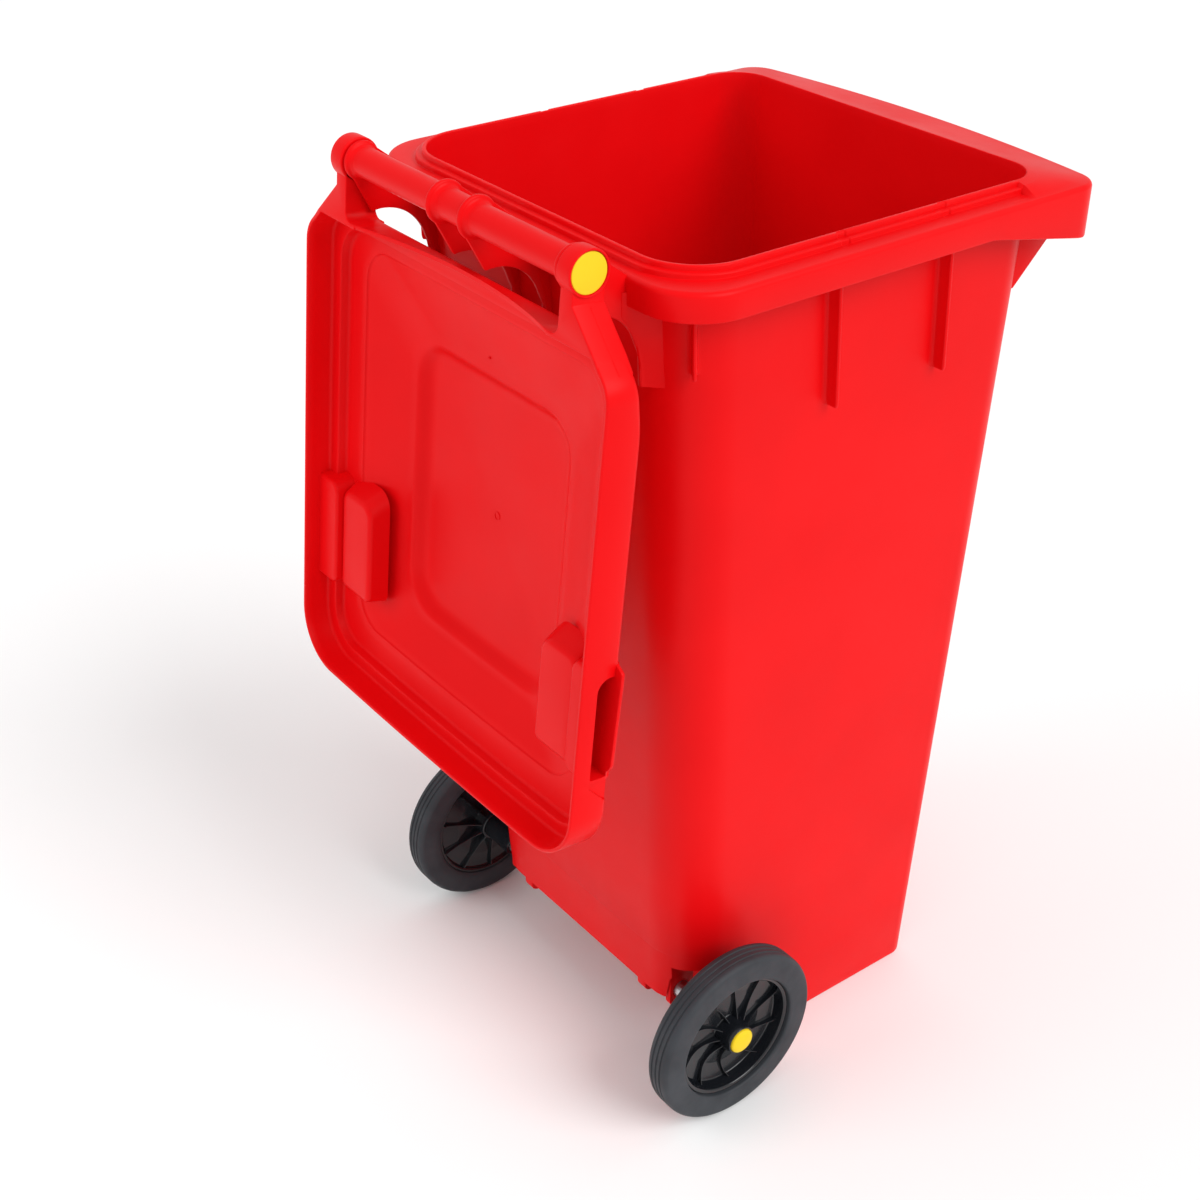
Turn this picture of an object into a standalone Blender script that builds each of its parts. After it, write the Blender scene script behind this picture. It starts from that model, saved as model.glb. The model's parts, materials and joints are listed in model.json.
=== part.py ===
"""A two-wheeled wheelie bin: tub, swinging lid on two pins, steel axle and two rubber-tyred wheels.

Metres, +Z up. X runs across the bin, +Y is the rear with the handle and wheels, and the origin is on
the ground under the tub. Right is the side at -X, as seen by someone standing behind the handle.
"""

from math import atan2, cos, pi, radians, sin, sqrt, tan

import bmesh
import bpy
from mathutils import Vector

# Tub body: half width, front and rear at the ground, and how much each grows per metre of height.
TUB_HALF_WIDTH = 0.172
TUB_FRONT = -0.202
TUB_REAR = 0.1384
SIDE_DRAFT = 0.0434
FRONT_DRAFT = 0.0253
REAR_DRAFT = 0.0722
WALL = 0.004
FOOT_EDGE = 0.003
FRONT_CORNER = (0.020, 0.040)
REAR_CORNER = (0.055, 0.060)

# Rim: outer outline, flat top, raised lip round the opening, skirt and the deep comb at the front.
RIM_TOP = 0.9407
RIM_HALF_WIDTH = 0.2405
RIM_REAR = 0.226
RIM_FRONT = -0.2705
RIM_BOW = 0.0195
RIM_FRONT_CORNER = 0.025
RIM_REAR_CORNER = 0.057
LIP_TOP = 0.9507
LIP_STEP = 0.9457
LIP_WIDTH = 0.0045
STEP_WIDTH = 0.0105
SKIRT_BOTTOM = 0.9139
COMB_BOTTOM = 0.8880
COMB_START = -0.130
COMB_END = -0.258
RIM_THICKNESS = 0.004

# Hinge line, handle bar and the brackets that carry it.
HINGE_Y = 0.2766
HINGE_Z = 0.9599
BAR_RADIUS = 0.0140
BAR_END = 0.1622
COLLAR_RADIUS = 0.0185
COLLAR_WIDTH = 0.0052
COLLAR_X = BAR_END - COLLAR_WIDTH / 2
CENTRE_RING_X = 0.024
CENTRE_RING_RADIUS = 0.0200
PLATE = 0.004
BRACKET_FOOT = 0.836
ARCH_CENTRE = (0.2615, 0.8620)
ARCH_RADIUS = 0.0500
SIDE_RIBS = ((0.035, 0.788, 0.022, 0.002), (-0.100, 0.788, 0.022, 0.002), (0.190, 0.852, 0.006, 0.025))
COMB_RIBS = (0.195, 0.060)
COMB_RIB_FOOT = 0.835

# Lid, in its own plane: s runs from the hinge line to the free edge, n from the outside to the inside.
LID_TILT = radians(5.3)
LID_HALF_WIDTH = 0.2345
LID_START = 0.055
LID_END = 0.541
LID_BOW = 0.004
LID_CHAMFER = 0.025
LID_CORNER = 0.055
SKIRT_EDGE = 0.0125
LID_SKIN = 0.0035
LUG_INNER = 0.1635
LUG_OUTER = 0.1815
LUG_RADIUS = 0.0205
ARM_DEPTH = -0.018

# Finger grips at the lid's sides.
GRIP_START = 0.336
GRIP_END = 0.452
GRIP_MIDDLE = 0.197
GRIP_INNER = 0.147
GRIP_LIP = 0.0085

# Hinge pins.
PIN_RADIUS = 0.0080
PIN_INNER = 0.126
PIN_HEAD_RADIUS = 0.0178
PIN_HEAD_INNER = 0.1772
PIN_HEAD_OUTER = 0.1808

# Axle and wheels.
AXLE_Y = 0.1234
AXLE_Z = 0.100
AXLE_RADIUS = 0.010
AXLE_END = 0.2434
GAP = 0.0003
HOUSING_BOTTOM = 0.0925
HOUSING_ROOF = 0.124
HOUSING_END = 0.158
HOOK_X = 0.105
HOOK_WIDTH = 0.014
HOOK_BOTTOM = 0.0790
HOOK_FRONT = 0.1060
HOOK_REAR = 0.1440
HOOK_CORNER = 0.0090
BAY_FRONT = 0.035
BAY_SHOULDER = 0.085
WHEEL_WELL_FRONT = 0.062
WHEEL_WELL_TOP = 0.146
BELOW = -0.02
OUTSIDE = 0.30
WHEEL_RADIUS = 0.100
TYRE_INNER_RADIUS = 0.0713
TYRE_INNER_FACE = 0.2115
TYRE_OUTER_FACE = 0.2428
TREAD_PITCH = 0.0060
TREAD_GROOVE = 0.0012
HUB_RADIUS = 0.0170
HUB_INNER_FACE = 0.2030
HUB_OUTER_FACE = 0.2385
WEB = 0.2190
CAP_RADIUS = 0.0148
CAP_CROWN = 0.2486
CAP_BORE = 0.0138
BUSH_RADIUS = 0.0128
SPACER_RADIUS = 0.0145
WASHER = 0.0012
SPOKES = 10

RED = (0.80, 0.012, 0.015, 1.0)
YELLOW = (0.95, 0.72, 0.02, 1.0)
BLACK = (0.010, 0.011, 0.013, 1.0)
RUBBER = (0.045, 0.050, 0.056, 1.0)
STEEL = (0.55, 0.56, 0.58, 1.0)
NYLON = (0.70, 0.69, 0.64, 1.0)


def clear_scene():
    for old in list(bpy.data.objects):
        bpy.data.objects.remove(old, do_unlink=True)


def make_material(name, colour, roughness, metallic=0.0):
    material = bpy.data.materials.new(name)
    material.use_nodes = True
    shader = material.node_tree.nodes["Principled BSDF"]
    shader.inputs["Base Color"].default_value = colour
    shader.inputs["Roughness"].default_value = roughness
    shader.inputs["Metallic"].default_value = metallic
    return material


def add_object(name, mesh_data, material=None, parent=None):
    """Turns a bmesh into an object with its faces pointing out."""
    bmesh.ops.recalc_face_normals(mesh_data, faces=mesh_data.faces)
    mesh = bpy.data.meshes.new(name)
    mesh_data.to_mesh(mesh)
    mesh_data.free()
    made = bpy.data.objects.new(name, mesh)
    bpy.context.scene.collection.objects.link(made)
    if material:
        mesh.materials.append(material)
    if parent:
        made.parent = parent
    return made


def add_empty(name, place, tilt=0.0):
    empty = bpy.data.objects.new(name, None)
    bpy.context.scene.collection.objects.link(empty)
    empty.location = place
    empty.rotation_euler = (tilt, 0.0, 0.0)
    return empty


def loft(rings):
    """A closed body through rings of equally many points, with a face across the first and the last."""
    body = bmesh.new()
    made = []
    for ring in rings:
        made.append([body.verts.new(point) for point in ring])
    count = len(made[0])
    for lower, upper in zip(made, made[1:]):
        for k in range(count):
            after = (k + 1) % count
            body.faces.new((lower[k], lower[after], upper[after], upper[k]))
    body.faces.new(list(reversed(made[0])))
    body.faces.new(made[-1])
    return body


def ruled_ring(rings):
    """A closed ring-shaped body: the last ring is joined back to the first."""
    body = bmesh.new()
    made = []
    for ring in rings:
        made.append([body.verts.new(point) for point in ring])
    count = len(made[0])
    for index, lower in enumerate(made):
        upper = made[(index + 1) % len(made)]
        for k in range(count):
            after = (k + 1) % count
            body.faces.new((lower[k], lower[after], upper[after], upper[k]))
    return body


def prism(outline, place, low, high):
    """Extrudes an outline of (u, v) points; place(u, v, w) gives the point at depth w."""
    return loft([[place(u, v, low) for u, v in outline], [place(u, v, high) for u, v in outline]])


def across(y, z, x):
    """Places an outline drawn in Y and Z at the depth X."""
    return Vector((x, y, z))


def in_lid(x, s, n):
    """A point of the lid, in the lid's own axes, from its width, its distance from the hinge and its depth."""
    return Vector((x, n, -s))


def turned(profile, side, segments):
    """Turns a closed profile of (distance along X, radius) about the X axis."""
    rings = []
    for k in range(segments):
        angle = 2 * pi * k / segments
        rings.append([Vector((side * x, r * cos(angle), r * sin(angle))) for x, r in profile])
    return ruled_ring(rings)


def turned_solid(profile, side, segments):
    """Turns an open profile of (distance along X, radius) about the X axis and closes both ends."""
    rings = []
    for x, r in profile:
        ring = []
        for k in range(segments):
            angle = 2 * pi * k / segments
            ring.append(Vector((side * x, r * cos(angle), r * sin(angle))))
        rings.append(ring)
    return loft(rings)


def moved(body, offset):
    bmesh.ops.translate(body, verts=body.verts, vec=Vector(offset))
    return body


def circle(centre, radius, start, end, steps):
    """Points on an arc, from one angle to the other."""
    points = []
    for k in range(steps + 1):
        angle = start + (end - start) * k / steps
        points.append((centre[0] + radius * cos(angle), centre[1] + radius * sin(angle)))
    return points


def rounded(corners, radii, steps, splits):
    """Rounds each corner of an outline, and divides the edge after it into that many pieces."""
    arcs = []
    for index, corner in enumerate(corners):
        here = Vector(corner)
        back = (Vector(corners[index - 1]) - here).normalized()
        ahead = (Vector(corners[(index + 1) % len(corners)]) - here).normalized()
        half = back.angle(ahead) / 2
        centre = here + (back + ahead).normalized() * radii[index] / sin(half)
        first = here + back * radii[index] / tan(half) - centre
        last = here + ahead * radii[index] / tan(half) - centre
        start = atan2(first.y, first.x)
        sweep = atan2(last.y, last.x) - start
        sweep = (sweep + pi) % (2 * pi) - pi
        arcs.append(circle(centre, radii[index], start, start + sweep, steps[index]))
    points = []
    for index, arc in enumerate(arcs):
        points.extend(arc)
        goal = arcs[(index + 1) % len(arcs)][0]
        for k in range(1, splits[index]):
            share = k / splits[index]
            points.append(tuple(a + (b - a) * share for a, b in zip(arc[-1], goal)))
    return points


def combine(target, tool, operation):
    """Applies a Boolean between two objects and removes the second."""
    modifier = target.modifiers.new("join", "BOOLEAN")
    modifier.operation = operation
    modifier.solver = "EXACT"
    modifier.object = tool
    graph = bpy.context.evaluated_depsgraph_get()
    result = bpy.data.meshes.new_from_object(target.evaluated_get(graph))
    target.modifiers.remove(modifier)
    target.data = result
    bpy.data.objects.remove(tool, do_unlink=True)


def join(target, body):
    combine(target, add_object("tool", body, parent=target.parent), "UNION")


def cut(target, body):
    combine(target, add_object("tool", body, parent=target.parent), "DIFFERENCE")


def shade(made, angle=radians(35)):
    made.data.shade_smooth()
    made.data.set_sharp_from_angle(angle=angle)


# ---------------------------------------------------------------- tub


def tub_size(z, inset=0.0):
    """Half width, front and rear of the body at a height."""
    half = TUB_HALF_WIDTH + SIDE_DRAFT * z - inset
    front = TUB_FRONT - FRONT_DRAFT * z + inset
    rear = TUB_REAR + REAR_DRAFT * z - inset
    return half, front, rear


def tub_corner(z, sizes):
    return sizes[0] + (sizes[1] - sizes[0]) * z / RIM_TOP


def outline_ring(half, front, rear, front_corner, rear_corner, height, bow=0.0):
    """A four-cornered ring; the front edge is bowed, and the height may vary from front to rear."""
    corners = [(-half, front), (half, front), (half, rear), (-half, rear)]
    radii = [front_corner, front_corner, rear_corner, rear_corner]
    ring = []
    for x, y in rounded(corners, radii, [5, 5, 6, 6], [6, 4, 1, 4]):
        if y < front + front_corner:
            y -= bow * (1 - (x / half) ** 2)
        ring.append(Vector((x, y, height(y) if callable(height) else height)))
    return ring


def body_ring(z, inset=0.0):
    half, front, rear = tub_size(z, inset)
    front_corner = max(tub_corner(z, FRONT_CORNER) - inset, 0.01)
    rear_corner = tub_corner(z, REAR_CORNER) - inset
    return outline_ring(half, front, rear, front_corner, rear_corner, z)


def lip_ring(out, z):
    """A ring round the opening, that far outside the inner wall."""
    half, front, rear = tub_size(RIM_TOP, WALL - out)
    return outline_ring(half, front, rear, FRONT_CORNER[1] + out, REAR_CORNER[1] + out, z)


def rim_ring(inset, height):
    return outline_ring(
        RIM_HALF_WIDTH - inset,
        RIM_FRONT + inset,
        RIM_REAR - inset,
        max(RIM_FRONT_CORNER - inset, 0.01),
        RIM_REAR_CORNER - inset,
        height,
        RIM_BOW,
    )


def skirt_height(y):
    """The skirt's lower edge drops towards the comb."""
    share = (COMB_START - y) / (COMB_START - COMB_END)
    share = min(max(share, 0.0), 1.0)
    return SKIRT_BOTTOM + (COMB_BOTTOM - SKIRT_BOTTOM) * share


def tub_outside():
    """The body and the rim as one solid, still without its hollow."""
    under = RIM_TOP - RIM_THICKNESS
    rings = [
        body_ring(0.0, FOOT_EDGE),
        body_ring(FOOT_EDGE),
        body_ring(under),
        rim_ring(RIM_THICKNESS, under),
        rim_ring(RIM_THICKNESS + 0.0005, skirt_height),
        rim_ring(0.0005, skirt_height),
        rim_ring(0.0, RIM_TOP - 0.003),
        rim_ring(0.003, RIM_TOP),
        lip_ring(STEP_WIDTH + 0.001, RIM_TOP),
        lip_ring(STEP_WIDTH, LIP_STEP),
        lip_ring(LIP_WIDTH + 0.001, LIP_STEP),
        lip_ring(LIP_WIDTH, LIP_TOP),
    ]
    return loft(rings)


def axle_bay(skin):
    """The space under the rear of the tub for the axle, grown by the given skin where the tub is hollow."""
    front = BAY_FRONT - skin
    roof = HOUSING_ROOF + skin
    outline = [(front, BELOW), (front, BAY_SHOULDER + skin / 2), (BAY_FRONT + 0.025 - skin / 2, roof)]
    if skin:
        outline += [(OUTSIDE, roof), (OUTSIDE, BELOW)]
    else:
        back = tub_size(HOUSING_BOTTOM)[2] - WALL - 0.001
        outline += [(back, roof), (back, HOUSING_BOTTOM), (OUTSIDE, HOUSING_BOTTOM), (OUTSIDE, BELOW)]
    return prism(outline, across, -OUTSIDE, OUTSIDE)


def wheel_well(side, skin):
    """The notch at each lower rear corner, beside the wheel's hub."""
    front = WHEEL_WELL_FRONT - skin
    top = WHEEL_WELL_TOP + skin
    outline = [(front, BELOW), (front, top), (OUTSIDE, top), (OUTSIDE, BELOW)]
    return prism(outline, across, side * (HOUSING_END - skin), side * OUTSIDE)


def tub_hollow():
    """The inside of the tub."""
    rings = [body_ring(WALL, WALL + 0.004), body_ring(0.012, WALL), body_ring(LIP_TOP + 0.05, WALL)]
    hollow = add_object("hollow", loft(rings))
    cut(hollow, axle_bay(WALL))
    for side in (-1, 1):
        cut(hollow, wheel_well(side, WALL))
    return hollow


def corner_sag(z, x, front):
    """How far the rounded corners set the front or rear wall back at that distance from the middle."""
    radius = tub_corner(z, FRONT_CORNER if front else REAR_CORNER)
    past = max(abs(x) - (tub_size(z)[0] - radius), 0.0)
    return radius - sqrt(radius ** 2 - past ** 2)


def bracket_outline(x, ring_radius):
    """A hinge bracket, in Y and Z: from the rim and rear wall out to the ring round the handle bar."""
    ring = circle((HINGE_Y, HINGE_Z), ring_radius, radians(140), radians(-50), 14)
    arch = circle(ARCH_CENTRE, ARCH_RADIUS, radians(80), radians(164), 7)
    low = tub_size(BRACKET_FOOT)[2] - corner_sag(BRACKET_FOOT, x, False) - WALL / 2
    high = tub_size(RIM_TOP)[2] - corner_sag(RIM_TOP, x, False) - WALL / 2
    return [(0.2235, RIM_TOP - 0.001)] + ring + arch + [
        (0.2090, 0.8660),
        (0.2075, BRACKET_FOOT),
        (low, BRACKET_FOOT),
        (high, RIM_TOP - 0.001),
    ]


def side_rib(side, y, bottom, depth, root):
    """A thin upright rib between the side wall and the rim's skirt; root is how far in it starts."""
    wall_low = tub_size(bottom)[0]
    wall_high = tub_size(RIM_TOP)[0]
    top = RIM_TOP - 0.002
    outline = [
        (side * (wall_low - root), bottom),
        (side * (wall_low + depth), bottom),
        (side * (wall_high + depth), top),
        (side * (wall_high - root), top),
    ]
    return prism(outline, lambda x, z, w: Vector((x, w, z)), y - PLATE / 2, y + PLATE / 2)


def comb_rib(x):
    """A three-cornered rib under the comb at the front."""
    top = RIM_TOP - 0.002
    low = tub_size(COMB_RIB_FOOT)[1] + corner_sag(COMB_RIB_FOOT, x, True)
    high = tub_size(top)[1] + corner_sag(top, x, True)
    root = WALL / 2
    outline = [(low + root, COMB_RIB_FOOT), (low - 0.0005, COMB_RIB_FOOT)]
    outline += [(COMB_END - 0.002, COMB_BOTTOM - 0.009), (COMB_END - 0.002, top), (high + root, top)]
    return prism(outline, across, x - PLATE / 2, x + PLATE / 2)


def axle_hook(x, width):
    """A plate from the axle bay's roof that goes round the axle and meets the rear strip."""
    roof = HOUSING_ROOF + 0.002
    low = HOOK_BOTTOM + HOOK_CORNER
    outline = [(HOOK_FRONT, roof)]
    outline += circle((HOOK_FRONT + HOOK_CORNER, low), HOOK_CORNER, pi, 1.5 * pi, 4)
    outline += circle((HOOK_REAR - HOOK_CORNER, low), HOOK_CORNER, 1.5 * pi, 2 * pi, 4)
    outline += [(HOOK_REAR, roof)]
    return prism(outline, across, x - width / 2, x + width / 2)


def handle_bar():
    """The turned bar with its end collars and the two rings over the centre bracket."""
    half = PLATE / 2 + 0.0008
    profile = [(0.0, BAR_RADIUS)]
    profile += [(CENTRE_RING_X - half, BAR_RADIUS), (CENTRE_RING_X - half, CENTRE_RING_RADIUS)]
    profile += [(CENTRE_RING_X + half, CENTRE_RING_RADIUS), (CENTRE_RING_X + half, BAR_RADIUS)]
    profile += [(BAR_END - COLLAR_WIDTH, BAR_RADIUS), (BAR_END - COLLAR_WIDTH, COLLAR_RADIUS)]
    profile += [(BAR_END, COLLAR_RADIUS)]
    whole = [(-x, r) for x, r in reversed(profile[1:])] + profile[1:]
    return moved(turned_solid(whole, 1, 24), (0.0, HINGE_Y, HINGE_Z))


def rod(low, high, radius, y, z, segments):
    return moved(turned_solid([(low, radius), (high, radius)], 1, segments), (0.0, y, z))


def make_tub(material):
    tub = add_object("tub", tub_outside(), material)
    combine(tub, tub_hollow(), "DIFFERENCE")
    cut(tub, axle_bay(0.0))
    for side in (-1, 1):
        cut(tub, wheel_well(side, 0.0))
    for side in (-1, 1):
        for y, bottom, depth, root in SIDE_RIBS:
            join(tub, side_rib(side, y, bottom, depth, root))
        for x in COMB_RIBS:
            join(tub, comb_rib(side * x))
        join(tub, axle_hook(side * HOOK_X, HOOK_WIDTH))
        join(tub, axle_hook(side * (HOUSING_END - 0.0042), 0.008))
        for x, ring_radius in ((CENTRE_RING_X, CENTRE_RING_RADIUS), (COLLAR_X, COLLAR_RADIUS)):
            outline = bracket_outline(x, ring_radius - 0.002)
            join(tub, prism(outline, across, side * x - PLATE / 2, side * x + PLATE / 2))
    join(tub, handle_bar())
    cut(tub, rod(-AXLE_END, AXLE_END, AXLE_RADIUS + GAP, AXLE_Y, AXLE_Z, 20))
    for side in (-1, 1):
        low, high = sorted((side * (PIN_INNER - 0.006), side * (BAR_END + 0.008)))
        cut(tub, rod(low, high, PIN_RADIUS + GAP, HINGE_Y, HINGE_Z, 20))
    shade(tub)
    return tub


# ---------------------------------------------------------------- lid


def lid_ring(inset, n, corner):
    """A ring of the lid at an inset from its outline, chamfered at the hinge side near the outline."""
    half = LID_HALF_WIDTH - inset
    start = LID_START + inset
    end = LID_END - inset
    radius = max(LID_CORNER - inset, corner)
    if inset < 0.015:
        slant = inset * (sqrt(2) - 1)
        corners = [(-half, end), (half, end), (half, LID_START + LID_CHAMFER + slant)]
        corners += [(LID_HALF_WIDTH - LID_CHAMFER - slant, start)]
        corners += [(-x, s) for x, s in reversed(corners[2:])]
        radii = [radius, radius, 0.012, 0.012, 0.012, 0.012]
        steps = [6, 6, 2, 2, 2, 2]
        splits = [6, 1, 1, 1, 1, 1]
    else:
        corners = [(-half, end), (half, end), (half, start), (-half, start)]
        radii = [radius, radius, corner, corner]
        steps = [6, 6, 5, 5]
        splits = [6, 1, 1, 1]
    ring = []
    for x, s in rounded(corners, radii, steps, splits):
        if s > end - radius:
            s += LID_BOW * (1 - (x / half) ** 2)
        ring.append(in_lid(x, s, n))
    return ring


def lid_shell():
    """The crowned panel, its skirt and the ledge round the inside, as one thin shell."""
    rings = [
        lid_ring(0.150, -0.0630, 0.030),
        lid_ring(0.127, -0.0612, 0.035),
        lid_ring(0.110, -0.0480, 0.035),
        lid_ring(0.052, -0.0285, 0.035),
        lid_ring(0.018, -0.0262, 0.035),
        lid_ring(0.004, -0.0245, 0.035),
        lid_ring(0.001, -0.0215, 0.035),
        lid_ring(0.000, SKIRT_EDGE, 0.035),
        lid_ring(0.0035, SKIRT_EDGE, 0.035),
        lid_ring(0.0050, -0.0125, 0.035),
        lid_ring(0.018, -0.0135, 0.035),
        lid_ring(0.021, -0.0228, 0.035),
        lid_ring(0.052, -0.0250, 0.035),
        lid_ring(0.108, -0.0440, 0.035),
        lid_ring(0.124, -0.0565, 0.035),
        lid_ring(0.150, -0.0585, 0.030),
    ]
    return loft(rings)


def arm_outline(side):
    """A hinge arm, in X and s: straight below the lug, then flared along the lid's chamfer."""
    chamfer = LID_HALF_WIDTH - LID_CHAMFER - LID_START
    bend = LUG_OUTER - 0.0015 - chamfer
    root = LID_START + 0.002
    fillet = 0.009
    top = -0.006
    inner = circle((LUG_INNER - fillet, root - fillet), fillet, radians(90), radians(0), 4)
    outline = inner + [(LUG_INNER, top), (LUG_OUTER - 0.0015, top), (LUG_OUTER - 0.0015, bend)]
    outline += [(chamfer + root, root), (chamfer + root - 0.004, root + 0.0012), (0.150, root + 0.0012)]
    return [(side * x, s) for x, s in outline]


def grip_block(side, inner, high):
    """The raised housing of a finger grip on the lid's inside."""
    outline = [
        (side * inner, GRIP_START + 0.014),
        (side * (inner + 0.006), GRIP_START + 0.004),
        (side * (inner + 0.016), GRIP_START),
        (side * (LID_HALF_WIDTH - 0.002), GRIP_START),
        (side * (LID_HALF_WIDTH - 0.002), GRIP_END),
        (side * (inner + 0.008), GRIP_END),
        (side * inner, GRIP_END - 0.006),
    ]
    return prism(outline, in_lid, -0.0255, high)


def grip_pocket(side):
    """The finger space of a grip, open to the side of the lid."""
    start = GRIP_START + LID_SKIN
    end = GRIP_END - LID_SKIN
    floor = -0.0210
    profile = [(0.27, start), (0.27, end), (GRIP_MIDDLE + LID_SKIN, end), (GRIP_MIDDLE + LID_SKIN, start)]
    return prism([(side * x, s) for x, s in profile], in_lid, floor, -0.006 - LID_SKIN)


def grip_lip(side):
    """The thin edge over a grip that stands out from the lid's side."""
    edge = LID_HALF_WIDTH
    outline = [
        (side * (edge - 0.012), GRIP_START - 0.006),
        (side * (edge - 0.002), GRIP_START - 0.006),
        (side * (edge + GRIP_LIP), GRIP_START + 0.003),
        (side * (edge + GRIP_LIP), GRIP_START + 0.026),
        (side * (edge + 0.001), GRIP_END - 0.014),
        (side * (edge - 0.012), GRIP_END - 0.003),
    ]
    return prism(outline, in_lid, -0.0243, -0.0206)


def lid_lug(side):
    low, high = sorted((side * LUG_INNER, side * LUG_OUTER))
    return rod(low, high, LUG_RADIUS, 0.0, 0.0, 24)


def make_lid(material, hinge):
    lid = add_object("lid", lid_shell(), material, hinge)
    for side in (-1, 1):
        join(lid, prism(arm_outline(side), in_lid, ARM_DEPTH, SKIRT_EDGE - 0.0002))
        join(lid, lid_lug(side))
        join(lid, grip_block(side, GRIP_INNER, -0.0180))
        join(lid, grip_block(side, GRIP_MIDDLE, -0.0060))
        cut(lid, grip_pocket(side))
        join(lid, grip_lip(side))
        low, high = sorted((side * (LUG_INNER - 0.010), side * (LUG_OUTER + 0.010)))
        cut(lid, rod(low, high, PIN_RADIUS + 0.0006, 0.0, 0.0, 20))
        low, high = sorted((side * (PIN_HEAD_INNER - 0.0004), side * (LUG_OUTER + 0.010)))
        cut(lid, rod(low, high, PIN_HEAD_RADIUS + 0.0004, 0.0, 0.0, 24))
    shade(lid)
    return lid


def make_pin(name, side, material):
    """A hinge pin: a shank with a chamfered tip and a broad flat head."""
    profile = [
        (PIN_INNER, PIN_RADIUS - 0.0015),
        (PIN_INNER + 0.002, PIN_RADIUS),
        (PIN_HEAD_INNER, PIN_RADIUS),
        (PIN_HEAD_INNER, PIN_HEAD_RADIUS),
        (PIN_HEAD_OUTER - 0.0008, PIN_HEAD_RADIUS),
        (PIN_HEAD_OUTER, PIN_HEAD_RADIUS - 0.0008),
    ]
    pin = add_object(name, turned_solid(profile, side, 24), material)
    pin.location = (0.0, HINGE_Y, HINGE_Z)
    shade(pin)


# ---------------------------------------------------------------- wheels


def make_axle(material):
    profile = [
        (-AXLE_END, AXLE_RADIUS - 0.001),
        (-AXLE_END + 0.001, AXLE_RADIUS),
        (AXLE_END - 0.001, AXLE_RADIUS),
        (AXLE_END, AXLE_RADIUS - 0.001),
    ]
    axle = add_object("axle", turned_solid(profile, 1, 20), material)
    axle.location = (0.0, AXLE_Y, AXLE_Z)
    shade(axle)


def tyre_profile():
    """Half the tyre's section in distance along X and radius, with grooves round the tread."""
    middle = (TYRE_INNER_FACE + TYRE_OUTER_FACE) / 2
    outer = TYRE_OUTER_FACE
    inner = TYRE_INNER_FACE
    profile = [(inner + 0.002, TYRE_INNER_RADIUS), (outer - 0.002, TYRE_INNER_RADIUS)]
    profile += [(outer, TYRE_INNER_RADIUS + 0.004), (outer, WHEEL_RADIUS - 0.010)]
    profile += [(outer - 0.002, WHEEL_RADIUS - 0.004), (outer - 0.0055, WHEEL_RADIUS - 0.0008)]
    for offset in (TREAD_PITCH, 0.0, -TREAD_PITCH):
        for shift, drop in ((TREAD_GROOVE, 0.0), (0.0, TREAD_GROOVE), (-TREAD_GROOVE, 0.0)):
            profile.append((middle + offset + shift, WHEEL_RADIUS - drop))
    profile += [(inner + 0.0055, WHEEL_RADIUS - 0.0008), (inner + 0.002, WHEEL_RADIUS - 0.004)]
    profile += [(inner, WHEEL_RADIUS - 0.010), (inner, TYRE_INNER_RADIUS + 0.004)]
    return profile


def centre_profile(bore):
    """The wheel centre's section: hub, dished web and the band that carries the tyre."""
    band = TYRE_INNER_RADIUS - GAP
    return [
        (HUB_INNER_FACE, bore),
        (HUB_OUTER_FACE, bore),
        (HUB_OUTER_FACE, HUB_RADIUS),
        (WEB + 0.0045, HUB_RADIUS + 0.0015),
        (WEB + 0.0015, 0.045),
        (WEB + 0.0040, band - 0.0060),
        (TYRE_OUTER_FACE - 0.0060, band - 0.0040),
        (TYRE_OUTER_FACE - 0.0045, band),
        (TYRE_INNER_FACE + 0.0030, band),
        (TYRE_INNER_FACE + 0.0040, band - 0.0040),
        (WEB, band - 0.0055),
        (WEB - 0.0025, 0.045),
        (WEB + 0.0005, HUB_RADIUS + 0.0015),
        (HUB_INNER_FACE, HUB_RADIUS),
    ]


def spoke(side, index):
    """A thin rib that curves from the hub to the band on the wheel's outer face."""
    half = 0.0010
    start = HUB_RADIUS - 0.002
    end = TYRE_INNER_RADIUS - 0.0055
    steps = 4
    left = []
    right = []
    for k in range(steps + 1):
        share = k / steps
        radius = start + (end - start) * share
        turn = 2 * pi * index / SPOKES + side * radians(30) * share ** 1.5
        for points, offset in ((left, half), (right, -half)):
            angle = turn + offset / radius
            points.append((radius * cos(angle), radius * sin(angle), share))
    rings = []
    for (y0, z0, share), (y1, z1, _) in zip(left, right):
        low = side * (WEB - 0.0005)
        high = side * (HUB_OUTER_FACE - 0.0040 - 0.0060 * sin(pi * share) - 0.0030 * share)
        rings.append([Vector((low, y0, z0)), Vector((high, y0, z0)),
                      Vector((high, y1, z1)), Vector((low, y1, z1))])
    return loft(rings)


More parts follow.
